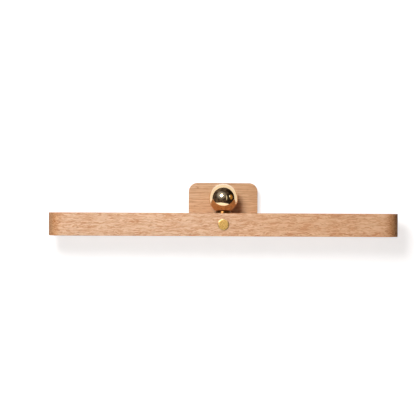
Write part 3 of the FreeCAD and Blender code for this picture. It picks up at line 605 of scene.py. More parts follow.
def beech(name, shift, pale, grain, ripple, rings, waves, lines, specks, edge_axis, level_shade):
    """Oiled beech along X: wavy grain, fine fibres, rings and flecks; darker end grain whose tint
    also paints the ends' shade, painted shade and warm bounce on the edges, painted shade on the
    level faces and painted warm light towards the right.

    Rings, waves, lines and specks are the strengths of those marks, from 0 to 1.
    """
    wood = bpy.context.scene.wall_light.wood
    n = Finish(name)
    place = n.place(shift=shift)
    bent = n.vector("ADD", place, n.wander(place, BOWS, BOW_REACH))
    bent = n.vector("ADD", bent, n.wander(place, RIPPLES, ripple))

    from_heart = n.vector("MULTIPLY", n.vector("SUBTRACT", bent, HEART), (0, 1, 1))
    ring = n.maths("FRACT", n.maths("DIVIDE", n.vector("LENGTH", from_heart), wood.ring_spacing))
    late_wood = n.maths("MULTIPLY", n.ramp(ring, 0.25, 0.70), n.ramp(ring, 0.75, 1.0, 1.0, 0.0))
    patches = n.noise(place, PATCHES)
    late_wood = n.maths("MULTIPLY", late_wood, n.ramp(patches, 0.38, 0.62, 0.0, rings))
    colour = n.blend(late_wood, pale, grain)

    dashes = n.noise(bent, DASHES, detail=1.5)
    colour = n.blend(n.ramp(dashes, 0.48, 0.64, 0.0, waves), colour, grain)
    threads = n.noise(place, THREADS, roughness=0.6)
    colour = n.blend(n.ramp(threads, 0.45, 0.7, 0.0, lines), colour, grain)
    colour = n.blend(n.marks(bent, FLECKS, 0.56, 0.6), colour, wood.fleck_colour)
    colour = n.blend(n.marks(bent, SPECKS, 0.80, specks), colour, wood.fleck_colour)

    fibres = n.noise(bent, FIBRES, detail=3.0, roughness=0.6)
    bands = n.noise(place, BANDS)
    tone = n.spread(fibres, 0.95, 1.05, 0.25, 0.75)
    tone = n.maths("MULTIPLY", tone, n.spread(bands, 0.96, 1.04))
    colour = n.tint(1.0, colour, n.grey(tone))
    # Painted warm light towards the right
    rightward = n.ramp(n.split(n.coordinates())["X"], *PAINTED_WARM_SPAN)
    colour = n.tint(rightward, colour, wood.painted_warm_light)

    # End grain on the ends, whose tint also paints their shade
    colour = n.tint(n.ramp(n.facing("X"), 0.04, 0.62), colour, wood.end_grain_and_shade)
    # Painted shade and warm bounce along the rounded edges
    outward = n.facing(edge_axis)
    edge = n.maths("MULTIPLY", n.ramp(outward, 0.15, 0.5), n.ramp(outward, 0.84, 0.98, 1.0, 0.0))
    colour = n.blend(n.maths("MULTIPLY", edge, 0.5), colour, wood.edge_shade_colour)
    # Painted shade on the level faces
    colour = n.tint(n.ramp(outward, 0.84, 0.98, 0.0, level_shade), colour, wood.level_face_shade)

    roughness = n.spread(fibres, 0.62, 0.76, 0.2, 0.8)
    relief = n.maths("SUBTRACT", fibres, dashes)
    return n.principled(colour, roughness, relief, depth=0.05 * MM, strength=0.6, specular=0.22)


def gold_plate():
    """Mirror gold plating with faint polishing marks and a few soft clouds."""
    n = Finish("Gold Plate")
    gold = bpy.context.scene.wall_light.metal.gold
    place = n.place()
    clouds = n.noise(place, 160)
    colour = n.blend(clouds, gold, scaled(gold, 0.97, 0.93, 0.88))
    roughness = n.spread(n.noise(place, 2400, detail=3.0), 0.03, 0.07, 0.3, 0.8)
    return n.principled(colour, roughness, clouds, strength=0.15, metallic=1.0)


def turned_brass(name, brass, axis):
    """Polished brass with the fine rings that turning leaves, about an axis through the ball."""
    n = Finish(name)
    place = n.vector("SUBTRACT", n.place(), tuple(BALL_CENTRE))
    across = n.vector("MULTIPLY", place, (1, 0, 1) if axis == "Y" else (1, 1, 0))
    turning = n.join(n.vector("LENGTH", across), n.split(place)[axis])
    rings = n.noise(turning, 2600, detail=3.0, roughness=0.6)
    colour = n.blend(n.noise(n.place(), 300), brass, scaled(brass, 0.82))
    roughness = n.spread(rings, 0.24, 0.34)
    return n.principled(colour, roughness, rings, strength=0.4, metallic=1.0)


def satin_brass():
    """Finely blasted brass of the button's face, with a smoother edge whose paler colour is a
    painted highlight.
    """
    n = Finish("Satin Brass")
    brass = bpy.context.scene.wall_light.metal.button
    place = n.place()
    grains = n.noise(place, 950, detail=4.0, roughness=0.7)
    pits = n.cells(place, 2300)["Distance"]
    darker, paler = scaled(brass, 0.72, 0.68, 0.58), scaled(brass, 1.20, 1.22, 1.60)
    colour = n.blend(n.ramp(grains, 0.32, 0.68), darker, paler)
    face = n.ramp(n.facing("Y"), 0.975, 0.99)
    # Painted highlight: the edge gets a paler colour
    colour = n.blend(face, scaled(brass, 1.10, 1.28, 2.3), colour)
    roughness = {0: face, 2: n.spread(grains, 0.36, 0.44), 3: n.spread(grains, 0.46, 0.58)}
    roughness = n.add("ShaderNodeMix", roughness).outputs[0]
    relief = n.maths("MULTIPLY", n.maths("ADD", grains, pits), face)
    return n.principled(colour, roughness, relief, depth=0.012 * MM, strength=0.5, metallic=1.0)


def plated_steel(name, colour, roughness):
    """Plated steel with a fine crystalline grain."""
    n = Finish(name)
    place = n.place()
    soft = n.noise(place, 500, detail=3.0)
    mixed = n.blend(n.cells(place, 900)["Distance"], colour, scaled(colour, 0.8))
    spread = n.spread(soft, roughness * 0.75, roughness * 1.25)
    return n.principled(mixed, spread, soft, metallic=1.0)


def brushed_sheet():
    """Satin aluminium sheet, brushed along X."""
    n = Finish("Satin Aluminium")
    lines = n.noise(n.place((60, 3000, 3000)), detail=3.0)
    colour = n.blend(lines, (0.78, 0.79, 0.80), (0.66, 0.67, 0.69))
    return n.principled(colour, n.spread(lines, 0.28, 0.42), lines, strength=0.4, metallic=1.0)


def opal_plastic():
    """Opal cover: milky and satin, with a very fine moulded grain."""
    n = Finish("Opal Plastic")
    place = n.place()
    grain = n.noise(place, 2600)
    colour = n.blend(n.noise(place, 60), (0.93, 0.91, 0.87), (0.88, 0.86, 0.82))
    return n.principled(
        colour, n.spread(grain, 0.36, 0.46), grain, subsurface=0.35,
        subsurface_radius=(1.0, 0.95, 0.85), subsurface_scale=2.0 * MM,
    )


def moulded(name, colour, roughness, contrast=0.12):
    """Moulded or coated surface with a fine grain."""
    n = Finish(name)
    place = n.place()
    grain = n.noise(place, 1800, detail=3.0)
    mixed = n.blend(n.noise(place, 150), colour, scaled(colour, 1 - contrast))
    spread = n.spread(grain, roughness * 0.85, roughness * 1.15)
    return n.principled(mixed, spread, grain, strength=0.5)


def foam():
    """Closed-cell foam with small pores."""
    n = Finish("Foam Tape")
    pores = n.cells(n.place(), 1700)["Distance"]
    colour = n.blend(pores, (0.55, 0.55, 0.53), (0.74, 0.74, 0.71))
    return n.principled(colour, 0.85, pores, depth=0.08 * MM, strength=0.6)


def circuit_board(name, colour, track_colour):
    """Solder mask with faint copper tracks under it."""
    n = Finish(name)
    place = n.place((420, 420, 420))
    tracks = n.ramp(n.cells(place, distance="CHEBYCHEV")["Distance"], 0.40, 0.46)
    mixed = n.blend(tracks, colour, track_colour)
    roughness = n.spread(n.noise(place, 6), 0.28, 0.4)
    return n.principled(mixed, roughness, tracks, depth=0.02 * MM, strength=0.6)


def cell_foil():
    """Crinkled laminated foil of the battery cells."""
    n = Finish("Cell Foil")
    creases = n.noise(n.place((160, 420, 420)), detail=4.0, roughness=0.6)
    colour = n.blend(creases, (0.62, 0.63, 0.64), (0.76, 0.77, 0.78))
    roughness = n.spread(creases, 0.25, 0.45)
    return n.principled(
        colour, roughness, creases, depth=0.12 * MM, strength=0.6, metallic=0.9
    )


def clear_rod():
    """Clear moulded plastic with a slight haze."""
    n = Finish("Clear Plastic")
    haze = n.noise(n.place(), 1500)
    colour = n.blend(haze, (0.90, 0.92, 0.93), (0.80, 0.83, 0.85))
    return n.principled(colour, n.spread(haze, 0.08, 0.2), transmission=0.8, ior=1.49)


def dress(material, *nodes):
    """Give CAD nodes a material."""
    for node in nodes:
        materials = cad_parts[node].data.materials
        materials.clear()
        materials.append(material)


def settle(piece, body, slot, *nodes):
    """A finished piece rides on its body and stands for its CAD nodes, which take its material. The
    slot is not used.
    """
    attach(piece, body)
    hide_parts(*nodes)
    dress(piece.data.materials[0], *nodes)


# Pieces

class BarOperator(bpy.types.Operator):
    """Make the wooden bar: rounded ends, eased edges, three routed steps and its bored holes."""

    bl_idname = "wall_light.bar"
    bl_label = "Wooden Bar"

    def execute(self, context):
        wood = context.scene.wall_light.wood
        beech_bar = beech(
            "Beech Bar", (0.31, 0.12, 0.07), wood.colour, wood.grain_colour, ripple=0.005,
            rings=0.95, waves=0.72, lines=0.2, specks=0.0, edge_axis="Z", level_shade=1.0,
        )
        levels = eased_levels(BAR.low.z, BAR.high.z, wood.rounding, wood.rounding)
        bar = rounded_solid(
            "bar_wood", BAR.half_x, BAR.half_y, BAR_CORNER, levels, on_bar, beech_bar, steps=28
        )
        cutters = []
        for inset, end, top in (
            (RIM_WIDTH, RIM_WIDTH, COVER_TOP),
            (RIM_WIDTH + LEDGE, RIM_WIDTH + LEDGE, TRAY.high.z),
            (POCKET_WALL, POCKET_END, RETAINER.high.z),
        ):
            cutters.append(rounded_solid(
                "step", BAR.half_x - end, BAR.half_y - inset, BAR_CORNER - inset,
                [(0, BAR.low.z - CUTTER_REACH), (0, top)], on_bar,
            ))
        cutters += seat_cutters() + button_cutters() + socket_cutters() + screw_cutters()
        carve(bar, cutters)
        settle(bar, "light_bar", "beech", "bar_body")
        return {"FINISHED"}


def seat_cutters():
    """Holes for the collar and its flange in the bar's top."""
    place = along_z(BALL_CENTRE)
    low = RETAINER.high.z - CUTTER_REACH
    return [
        bore(name, radius + RUNNING_GAP, place, low, top, steps=96)
        for name, radius, top in (
            ("collar_hole", COLLAR_RADIUS, BAR.high.z + CUTTER_REACH),
            ("flange_hole", COLLAR.half_x, FLANGE_TOP),
        )
    ]


def button_axis():
    """Middle of the button's face."""
    return Vector((0, BUTTON.low.y, BUTTON.middle.z))


def button_cutters():
    """Counterbore and stem hole for the button in the bar's front."""
    place = along_y(button_axis())
    floor_y = BAR.low.y + BUTTON_BODY + BUTTON_TRAVEL + CLEAR_GAP
    face_y = BAR.low.y - CUTTER_REACH
    pocket_y = BAR.low.y + POCKET_WALL + CUTTER_REACH
    return [
        bore("counterbore", BUTTON.half_x + RUNNING_GAP, place, face_y, floor_y, steps=96),
        bore("stem_hole", BUTTON_STEM_RADIUS + RUNNING_GAP, place, BAR.low.y, pocket_y),
    ]


def capsule(name, margin, start_y, end_y):
    """Slot-shaped cutter round the charging socket, wider by a margin."""
    half_height = SOCKET.half_z + margin
    return rounded_solid(
        name, SOCKET.half_x + margin, half_height, half_height - CAPSULE_FLAT,
        [(0, start_y), (0, end_y)],
        lambda u, v, w: Vector((SOCKET.middle.x + u, w, SOCKET.middle.z + v)),
    )


def socket_cutters():
    """Relief, slot and recess for the charging socket, and the charge light's hole, in the back."""
    pocket_y = BAR.high.y - POCKET_WALL - CUTTER_REACH
    back_y = BAR.high.y + CUTTER_REACH
    relief_half = SOCKET.half_x + RELIEF_MARGIN + FIT_GAP
    relief = block(
        "relief",
        (SOCKET.middle.x - relief_half, pocket_y, TRAY.high.z),
        (SOCKET.middle.x + relief_half, BAR.high.y - RELIEF_WALL, SOCKET.high.z + FIT_GAP),
    )
    slot = capsule("slot", FIT_GAP, pocket_y, back_y)
    recess = capsule("recess", RECESS_MARGIN, BAR.high.y - RECESS_DEPTH, back_y)
    rod_radius = ROD.half_x + RUNNING_GAP
    rod = bore("rod_hole", rod_radius, along_y(ROD.middle), pocket_y, back_y, steps=48)
    return [relief, slot, recess, rod]


def screw_cutters():
    """Pilot holes of the tray's and the retainer's screws."""
    cutters = []
    for side in (-1, 1):
        for x, low, high in (
            (TRAY_SCREW_X, TRAY.high.z, TRAY_SCREWS.high.z),
            (RETAINER_SCREW_X, RETAINER.high.z, RETAINER_SCREWS.high.z),
        ):
            place = along_z(Vector((side * x, BALL_CENTRE.y, 0)))
            cutters.append(bore("pilot", SCREW_RADIUS, place, low - CUTTER_REACH, high, steps=24))
    return cutters


class PlateOperator(bpy.types.Operator):
    """Make the wooden wall plate, bored for the neck and its screw."""

    bl_idname = "wall_light.plate"
    bl_label = "Wall Plate"

    def execute(self, context):
        wood = context.scene.wall_light.wood
        beech_plate = beech(
            "Beech Plate", (0.055, 0.02, 0.21), wood.plate_colour, wood.plate_grain, ripple=0.0015,
            rings=0.42, waves=0.45, lines=1.0, specks=0.8, edge_axis="Y", level_shade=0.0,
        )
        levels = eased_levels(PLATE.low.y, PLATE.high.y, wood.rounding, PLATE_BACK_EASE)
        plate = rounded_solid(
            "plate_wood", PLATE.half_x, PLATE.half_z, PLATE_CORNER, levels, on_plate, beech_plate
        )
        front_y = PLATE.low.y - CUTTER_REACH
        spigot = SPIGOT_RADIUS + RUNNING_GAP
        spigot_end = NECK.high.y + CLEAR_GAP
        shank = STEM_SCREW_RADIUS + RUNNING_GAP
        head = STEM_SCREW_HEAD_RADIUS + RUNNING_GAP
        head_y = STEM_SCREW.high.y
        back_y = PLATE.high.y + CUTTER_REACH
        sink_y = head_y - (head - shank)
        profile = [(0, front_y), *stepped(front_y, (spigot, spigot_end), (shank, sink_y))]
        profile += [(head, head_y), (head, back_y), (0, back_y)]
        carve(plate, [turned("stem_hole", profile, along_y(BALL_CENTRE), steps=64)])
        settle(plate, "wall_base", "beech", "wall_plate")
        dress(foam(), "adhesive_pad")
        return {"FINISHED"}


class BallOperator(bpy.types.Operator):
    """Make the plated ball and the turned neck that carries it."""

    bl_idname = "wall_light.ball"
    bl_label = "Ball and Neck"

    def execute(self, context):
        metal = context.scene.wall_light.metal
        place = along_y(BALL_CENTRE)
        profile = arc((0, BALL_CENTRE.y), BALL.half_x, -90, 90, metal.steps // 2)
        ball = turned("plated_ball", profile, place, metal.steps, gold_plate())
        settle(ball, "swivel_ball", "gold_plate", "ball")
        brass = turned_brass("Neck Brass", metal.brass, "Y")
        neck = turned("turned_neck", neck_profile(), place, metal.steps, brass)
        settle(neck, "stem", "polished_brass", "neck")
        return {"FINISHED"}


def neck_profile():
    """Neck from the screw's blind hole round its spigot, base, waist and rim to the ball's cup."""
    base_back = PLATE.low.y - RUNNING_GAP
    base_front = base_back - NECK_BASE_THICKNESS
    rim_y = BALL_CENTRE.y + math.sqrt(CUP_RADIUS**2 - NECK_RIM_RADIUS**2)
    ease = TURNED_EASE
    profile = [
        (0, STEM_SCREW.low.y),
        (STEM_SCREW_RADIUS, STEM_SCREW.low.y),
        (STEM_SCREW_RADIUS, NECK.high.y),
        (SPIGOT_RADIUS - ease, NECK.high.y),
        (SPIGOT_RADIUS, NECK.high.y - ease),
        (SPIGOT_RADIUS, base_back),
    ]
    profile += arc((NECK.half_x - ease, base_back - ease), ease, 90, 0, 4)
    profile += arc((NECK.half_x - ease, base_front + ease), ease, 0, -90, 4)
    length = base_front - rim_y
    swell = NECK_RIM_RADIUS - NECK_WAIST_RADIUS
    for k in range(WAIST_STEPS + 1):
        share = k / WAIST_STEPS
        radius = NECK_RIM_RADIUS - swell * math.sin(math.pi * share)
        profile.append((radius, base_front - length * share))
    cup_end = math.degrees(math.asin(NECK_RIM_RADIUS / CUP_RADIUS))
    profile += arc((0, BALL_CENTRE.y), CUP_RADIUS, 90 - cup_end, 90, 12)[1:]
    profile[-1] = (0, BALL_CENTRE.y + CUP_RADIUS)
    return profile


class SeatOperator(bpy.types.Operator):
    """Make the turned collar that cups the ball, with its flange and the magnet's barrel."""

    bl_idname = "wall_light.seat"
    bl_label = "Magnetic Seat"

    def execute(self, context):
        metal = context.scene.wall_light.metal
        ease = TURNED_EASE
        top = FLANGE_TOP - RUNNING_GAP
        bottom = top - FLANGE_THICKNESS
        lip_angle = math.degrees(math.acos(LIP_RADIUS / CUP_RADIUS))
        rim_angle = math.degrees(math.acos(COLLAR_RADIUS / CUP_RADIUS))
        rim_z = BALL_CENTRE.z - math.sqrt(CUP_RADIUS**2 - (COLLAR_RADIUS - ease)**2)
        profile = arc((0, BALL_CENTRE.z), CUP_RADIUS, -lip_angle, -rim_angle, 8)[:-1]
        profile += [
            (COLLAR_RADIUS - ease, rim_z),
            (COLLAR_RADIUS - ease * RIM_BEND[0], rim_z - ease * RIM_BEND[1]),
            (COLLAR_RADIUS, rim_z - ease),
            (COLLAR_RADIUS, top),
            (COLLAR.half_x - ease, top),
            (COLLAR.half_x, top - ease),
            (COLLAR.half_x, bottom + ease),
            (COLLAR.half_x - ease, bottom),
            *stepped(bottom, (BARREL_RADIUS, MAGNET.low.z), (MAGNET.half_x, MAGNET.high.z)),
            (LIP_RADIUS, MAGNET.high.z),
        ]
        # The collar's dark brass is painted shade under the ball
        shaded_brass = turned_brass("Collar Bronze", metal.shaded_brass, "Z")
        place = along_z(BALL_CENTRE)
        collar = turned("turned_collar", profile, place, metal.steps, shaded_brass, ring=True)
        settle(collar, "magnet_seat", "polished_brass", "seat_collar")
        return {"FINISHED"}


class ButtonOperator(bpy.types.Operator):
    """Make the satin brass push button in the bar's front."""

    bl_idname = "wall_light.button"
    bl_label = "Push Button"

    def execute(self, context):
        steps = context.scene.wall_light.metal.steps
        radius = BUTTON.half_x
        face = BUTTON.low.y
        back = BAR.low.y + BUTTON_BODY
        profile = [(0, face), (radius / 2, face)]
        profile += [(radius - inset * MM, face + depth * MM) for inset, depth in BUTTON_EDGE]
        stem = stepped(
            back, (BUTTON_STEM_RADIUS, CLIP.low.y), (BUTTON_GROOVE_RADIUS, CLIP.high.y),
            (BUTTON_STEM_RADIUS, BUTTON.high.y),
        )
        profile += [(radius, back), *stem, (0, BUTTON.high.y)]
        button = turned("button_brass", profile, along_y(button_axis()), steps, satin_brass())
        settle(button, "button", "brushed_brass", "button_cap")
        return {"FINISHED"}


class DiffuserOperator(bpy.types.Operator):
    """Make the opal cover in the bar's underside, with the rib that finds the routed well."""

    bl_idname = "wall_light.diffuser"
    bl_label = "Opal Cover"

    def execute(self, context):
        rim = RIM_WIDTH + FIT_GAP
        levels = eased_levels(DIFFUSER.low.z, COVER_TOP, COVER_EASE, COVER_TOP_EASE, steps=4)
        levels += [
            (LEDGE, COVER_TOP),
            (LEDGE, DIFFUSER.high.z),
            (LEDGE + RIB_WALL, DIFFUSER.high.z),
            (LEDGE + RIB_WALL, COVER_TOP),
        ]
        cover = rounded_solid(
            "opal_cover", BAR.half_x - rim, BAR.half_y - rim, BAR_CORNER - rim, levels, on_bar,
            opal_plastic(), steps=24,
        )
        settle(cover, "light_bar", "opal_plastic", "diffuser")
        return {"FINISHED"}


# Rows that Geometry Nodes repeat

def row_tree(name):
    """Tree that repeats up to two solids along X at an even pitch, each with its own material."""
    tree = bpy.data.node_groups.new(name, "GeometryNodeTree")
    parts = (("First Part", "First Finish"), ("Second Part", "Second Finish"))
    sockets = {"Count": "Int", "Start": "Vector", "Pitch": "Float"}
    for part, finish in parts:
        sockets.update({part: "Object", finish: "Material"})
    for label, kind in sockets.items():
        tree.interface.new_socket(label, in_out="INPUT", socket_type="NodeSocket" + kind)
    tree.interface.new_socket("Geometry", in_out="OUTPUT", socket_type="NodeSocketGeometry")
    n = Nodes(tree)
    entry = n.add("NodeGroupInput").outputs
    spots = n.add("GeometryNodeMeshLine", {
        "Count": entry["Count"], "Start Location": entry["Start"], "Offset": n.join(entry["Pitch"]),
    })
    joined = n.add("GeometryNodeJoinGeometry")
    for part, finish in parts:
        source = n.add("GeometryNodeObjectInfo", {"Object": entry[part]})
        row = n.add("GeometryNodeInstanceOnPoints", {
            "Points": spots.outputs["Mesh"], "Instance": source.outputs["Geometry"],
        })
        row = n.add("GeometryNodeRealizeInstances", {"Geometry": row.outputs["Instances"]})
        row = n.add("GeometryNodeSetMaterial", {
            "Geometry": row.outputs["Geometry"], "Material": entry[finish],
        })
        n.connect(joined.inputs["Geometry"], row.outputs["Geometry"])
    n.add("NodeGroupOutput", {"Geometry": joined.outputs["Geometry"]})
    return tree


def make_row(name, tree, count, start, pitch, parts):
    """Plain mesh of a row. Parts are one or two pairs of a template object and its material."""
    values = {"Count": count, "Start": start, "Pitch": pitch}
    for label, (part, finish) in zip(("First", "Second"), parts):
        values[label + " Part"] = part
        values[label + " Finish"] = finish
    carrier = add_object(name, bmesh.new(), None)
    modifier = carrier.modifiers.new("Row", "NODES")
    modifier.node_group = tree
    for item in tree.interface.items_tree:
        if item.in_out == "INPUT" and item.name in values:
            modifier[item.identifier] = values[item.name]
    keep_result(carrier)
    for part, _ in parts:
        bpy.data.objects.remove(part)
    return carrier


def frustum(name, radii, heights):
    """Short round piece about the Z axis, from one radius and height to another."""
    profile = [(0, heights[0]), *zip(radii, heights), (0, heights[1])]
    return turned(name, profile, along_z(Vector()), DISH_STEPS)


class DiodesOperator(bpy.types.Operator):
    """Make the row of diodes, each a white package with a round phosphor window."""

    bl_idname = "wall_light.diodes"
    bl_label = "Diode Row"

    def execute(self, context):
        count = round((2 * DIODES.half_x - DIODE_LENGTH) / DIODE_PITCH) + 1
        levels = eased_levels(0.0, 2 * DIODES.half_z, *DIODE_EASES, steps=2)
        package = rounded_solid(
            "package", DIODE_LENGTH / 2, DIODES.half_y, DIODE_CORNER, levels,
            lambda u, v, w: Vector((u, v, w)), steps=3,
        )
        dish = (DISH_RADIUS, DISH_RADIUS * DISH_TAPER)
        carve(package, [frustum("dish", dish, (-DISH_REACH, DISH_DEPTH))])
        phosphor = frustum("phosphor", PHOSPHOR_RADII, PHOSPHOR_DEPTHS)
        parts = [
            (package, moulded("Diode Package", (0.82, 0.82, 0.78), 0.4)),
            (phosphor, moulded("Phosphor", (0.80, 0.66, 0.18), 0.5, contrast=0.2)),
        ]
        start = Vector((DIODES.low.x + DIODE_LENGTH / 2, BALL_CENTRE.y, DIODES.low.z))
        row = make_row("diode_row", row_tree("Diode Row"), count, start, DIODE_PITCH, parts)
        settle(row, "light_bar", "diode_package", "diodes")
        return {"FINISHED"}


def screw(name, head_height, length):
    """Slotted cheese-head screw with an eased head, pointing up from the origin."""
    shoulder = SCREW_HEAD_RADIUS - SCREW_HEAD_EASE
    profile = [(0, -head_height), (shoulder, -head_height)]
    profile += arc((shoulder, SCREW_HEAD_EASE - head_height), SCREW_HEAD_EASE, -90, 0, 3)[1:]
    profile += [
        (SCREW_HEAD_RADIUS, 0),
        (SCREW_RADIUS, 0),
        (SCREW_RADIUS, length - SCREW_TIP),
        (SCREW_TIP_RADIUS, length),
        (0, length),
    ]
    slot = block(
        "slot",
        (-SCREW_HEAD_RADIUS - CUTTER_REACH, -SLOT_WIDTH / 2, -head_height - CUTTER_REACH),
        (SCREW_HEAD_RADIUS + CUTTER_REACH, SLOT_WIDTH / 2, SLOT_DEPTH - head_height),
    )
    return carve(turned(name, profile, along_z(Vector()), steps=32), [slot])


class ScrewsOperator(bpy.types.Operator):
    """Make the screws of the light tray and of the seat's retainer."""

    bl_idname = "wall_light.screws"
    bl_label = "Small Screws"

    def execute(self, context):
        steel = plated_steel("Screw Steel", context.scene.wall_light.metal.steel, 0.28)
        tray = (TRAY_SCREWS, TRAY_SCREW_X, TRAY_SCREW_HEAD)
        retainer = (RETAINER_SCREWS, RETAINER_SCREW_X, RETAINER_SCREW_HEAD)
        for name, node, (box, x, head) in (
            ("tray_screw_pair", "tray_screws", tray),
            ("retainer_screw_pair", "retainer_screws", retainer),
        ):
            template = screw("template", head, 2 * box.half_z - head)
            start = Vector((-x, BALL_CENTRE.y, box.low.z + head))
            pair = make_row(name, row_tree(name + "_row"), 2, start, 2 * x, [(template, steel)])
            settle(pair, "light_bar", "zinc_steel", node)
        return {"FINISHED"}


class FittingsOperator(bpy.types.Operator):
    """Finish the fittings inside the bar: boards, cells, leads, tray, socket, magnet, switch."""

    bl_idname = "wall_light.fittings"
    bl_label = "Inner Fittings"

    def execute(self, context):
        zinc = plated_steel("Zinc Steel", context.scene.wall_light.metal.steel, 0.3)
        board = circuit_board("Green Board", (0.02, 0.13, 0.05), (0.03, 0.20, 0.08))
        white = circuit_board("White Board", (0.80, 0.80, 0.77), (0.74, 0.74, 0.70))
        black = moulded("Black Plastic", (0.02, 0.02, 0.021), 0.45)
        for material, *nodes in (
            (zinc, "stem_screw", "magnet_yoke", "seat_retainer", "button_clip"),
            (plated_steel("Socket Steel", (0.72, 0.72, 0.72), 0.22), "socket_shell"),
            (plated_steel("Nickel Plate", (0.70, 0.67, 0.61), 0.15), "seat_magnet"),
            (brushed_sheet(), "light_tray"),
            (white, "light_strip"),
            (board, "main_board", "switch_board"),
            (moulded("Lead Insulation", (0.42, 0.02, 0.015), 0.5), "strip_leads", "cell_leads"),
            (cell_foil(), "battery_left", "battery_right"),
            (foam(), "cell_pads", "board_pad"),
            (black, "board_parts", "socket_tongue", "tact_switch"),
            (moulded("Plunger Plastic", (0.10, 0.10, 0.105), 0.5), "tact_plunger"),
            (clear_rod(), "charge_light"),
        ):
            dress(material, *nodes)
        return {"FINISHED"}


# Stage

def backdrop(name, matt_share, mirror_glow):
    """Pale matt surface that keeps the object's shadow.

    The camera and reflections see it white, and from behind it is clear.
    """
    n = Finish(name)
    path = n.add("ShaderNodeLightPath").outputs
    mirrored = n.maths("ADD", path["Is Glossy Ray"], path["Is Transmission Ray"], clamp=True)
    matt = n.add("ShaderNodeBsdfDiffuse", {"Color": (matt_share,) * 3}).outputs[0]
    front = n.mix_shader(path["Is Camera Ray"], matt, glowing(n, SEEN_SHARE, SEEN_GLOW))
    front = n.mix_shader(mirrored, front, glowing(n, MIRRORED_SHARE, (mirror_glow,) * 3))
    behind = n.add("ShaderNodeNewGeometry").outputs["Backfacing"]
    clear = n.add("ShaderNodeBsdfTransparent").outputs[0]
    return n.surface(n.mix_shader(behind, front, clear))


def glowing(n, share, glow):
    """Matt white that adds an even glow, so that open parts are white and shadows stay pale."""
    matt = n.add("ShaderNodeBsdfDiffuse", {"Color": (share,) * 3}).outputs[0]
    light = n.add("ShaderNodeEmission", {"Color": glow}).outputs[0]
    return n.add("ShaderNodeAddShader", {0: matt, 1: light}).outputs[0]


def card(n, direction, centre, halves, soft):
    """Factor of a soft-edged card as seen from the ball. Its angles are in degrees."""
    azimuth, height = (math.radians(angle) for angle in centre)
    level = math.cos(height)
    facing = Vector((math.sin(azimuth) * level, -math.cos(azimuth) * level, math.sin(height)))
    across = Vector((math.cos(azimuth), math.sin(azimuth), 0))
    up = across.cross(facing)
    if up.z < 0:
        up = -up
    squares = []
    for side, half in zip((across, up), halves):
        reach = n.vector("DOT_PRODUCT", direction, tuple(side / math.sin(math.radians(half))))
        squares.append(n.maths("MULTIPLY", reach, reach))
    inside = n.ramp(n.maths("SQRT", n.maths("ADD", *squares)), 1.0, 1.0 - soft)
    ahead = n.vector("DOT_PRODUCT", direction, tuple(facing))
    return n.maths("MULTIPLY", inside, n.ramp(ahead, 0.0, 0.3))


def dim_room():
    """Half-dome behind the camera and a ring of card before the wall, for polished metal only."""
    n = Finish("Dim Room")
    direction = n.vector("NORMALIZE", n.coordinates())
    clouds = n.ramp(n.noise(direction, 3.2, detail=3.0), 0.35, 0.7)
    colour = n.blend(clouds, (0.035, 0.022, 0.018), (0.15, 0.13, 0.115))
    dimmer = n.ramp(n.split(direction)["X"], 0.1, 0.75, 1.0, 0.22)
    colour = n.tint(1.0, colour, n.grey(dimmer))
    for centre, halves, soft, card_colour in ROOM_CARDS:
        colour = n.blend(card(n, direction, centre, halves, soft), colour, card_colour)
    material = n.surface(n.add("ShaderNodeEmission", {"Color": colour}).outputs[0])

    profile = [(ROOM_HOLE, 0.0)] + arc((0, 0), ROOM_RADIUS, 0, -90, ROOM_STEPS // 3)
    profile = [(radius, y - MM) for radius, y in profile]
    room = turned("dim_room", profile, along_y(BALL_CENTRE), ROOM_STEPS, material)
    room.visible_camera = False
    room.visible_diffuse = False
    room.visible_transmission = False
    room.visible_shadow = False


def stage_plane(name, corners, material):
    """Flat piece of the stage."""
    bm = bmesh.new()
    bm.faces.new([bm.verts.new(corner) for corner in corners])
    plane = add_object(name, bm, material)
    return plane


def lamp(name, place, target, size, power):
    """Round soft lamp aimed at a target, which the camera doesn't see."""
    data = bpy.data.lights.new(name, "AREA")
    data.shape = "DISK"
    data.size = size
    data.energy = power
    light = bpy.data.objects.new(name, data)
    light.location = place
    aim = Vector(target) - Vector(place)
    light.rotation_euler = aim.to_track_quat("-Z", "Y").to_euler()
    light.visible_camera = False
    bpy.context.scene.collection.objects.link(light)
    return light


def studio_world(fill):
    """World that is white to the camera and in reflections, and an even soft light otherwise."""
    world = bpy.data.worlds.new("Studio")
    bpy.context.scene.world = world
    world.use_nodes = True
    n = Nodes(world.node_tree)
    path = n.add("ShaderNodeLightPath").outputs
    seen = n.maths("ADD", path["Is Camera Ray"], path["Is Glossy Ray"])
    seen = n.maths("ADD", seen, path["Is Transmission Ray"], clamp=True)
    soft, white = (
        n.add("ShaderNodeBackground", {"Color": (1, 1, 1), "Strength": strength}).outputs[0]
        for strength in (fill, 1.0)
    )
    n.add("ShaderNodeOutputWorld", {"Surface": n.mix_shader(seen, soft, white)})


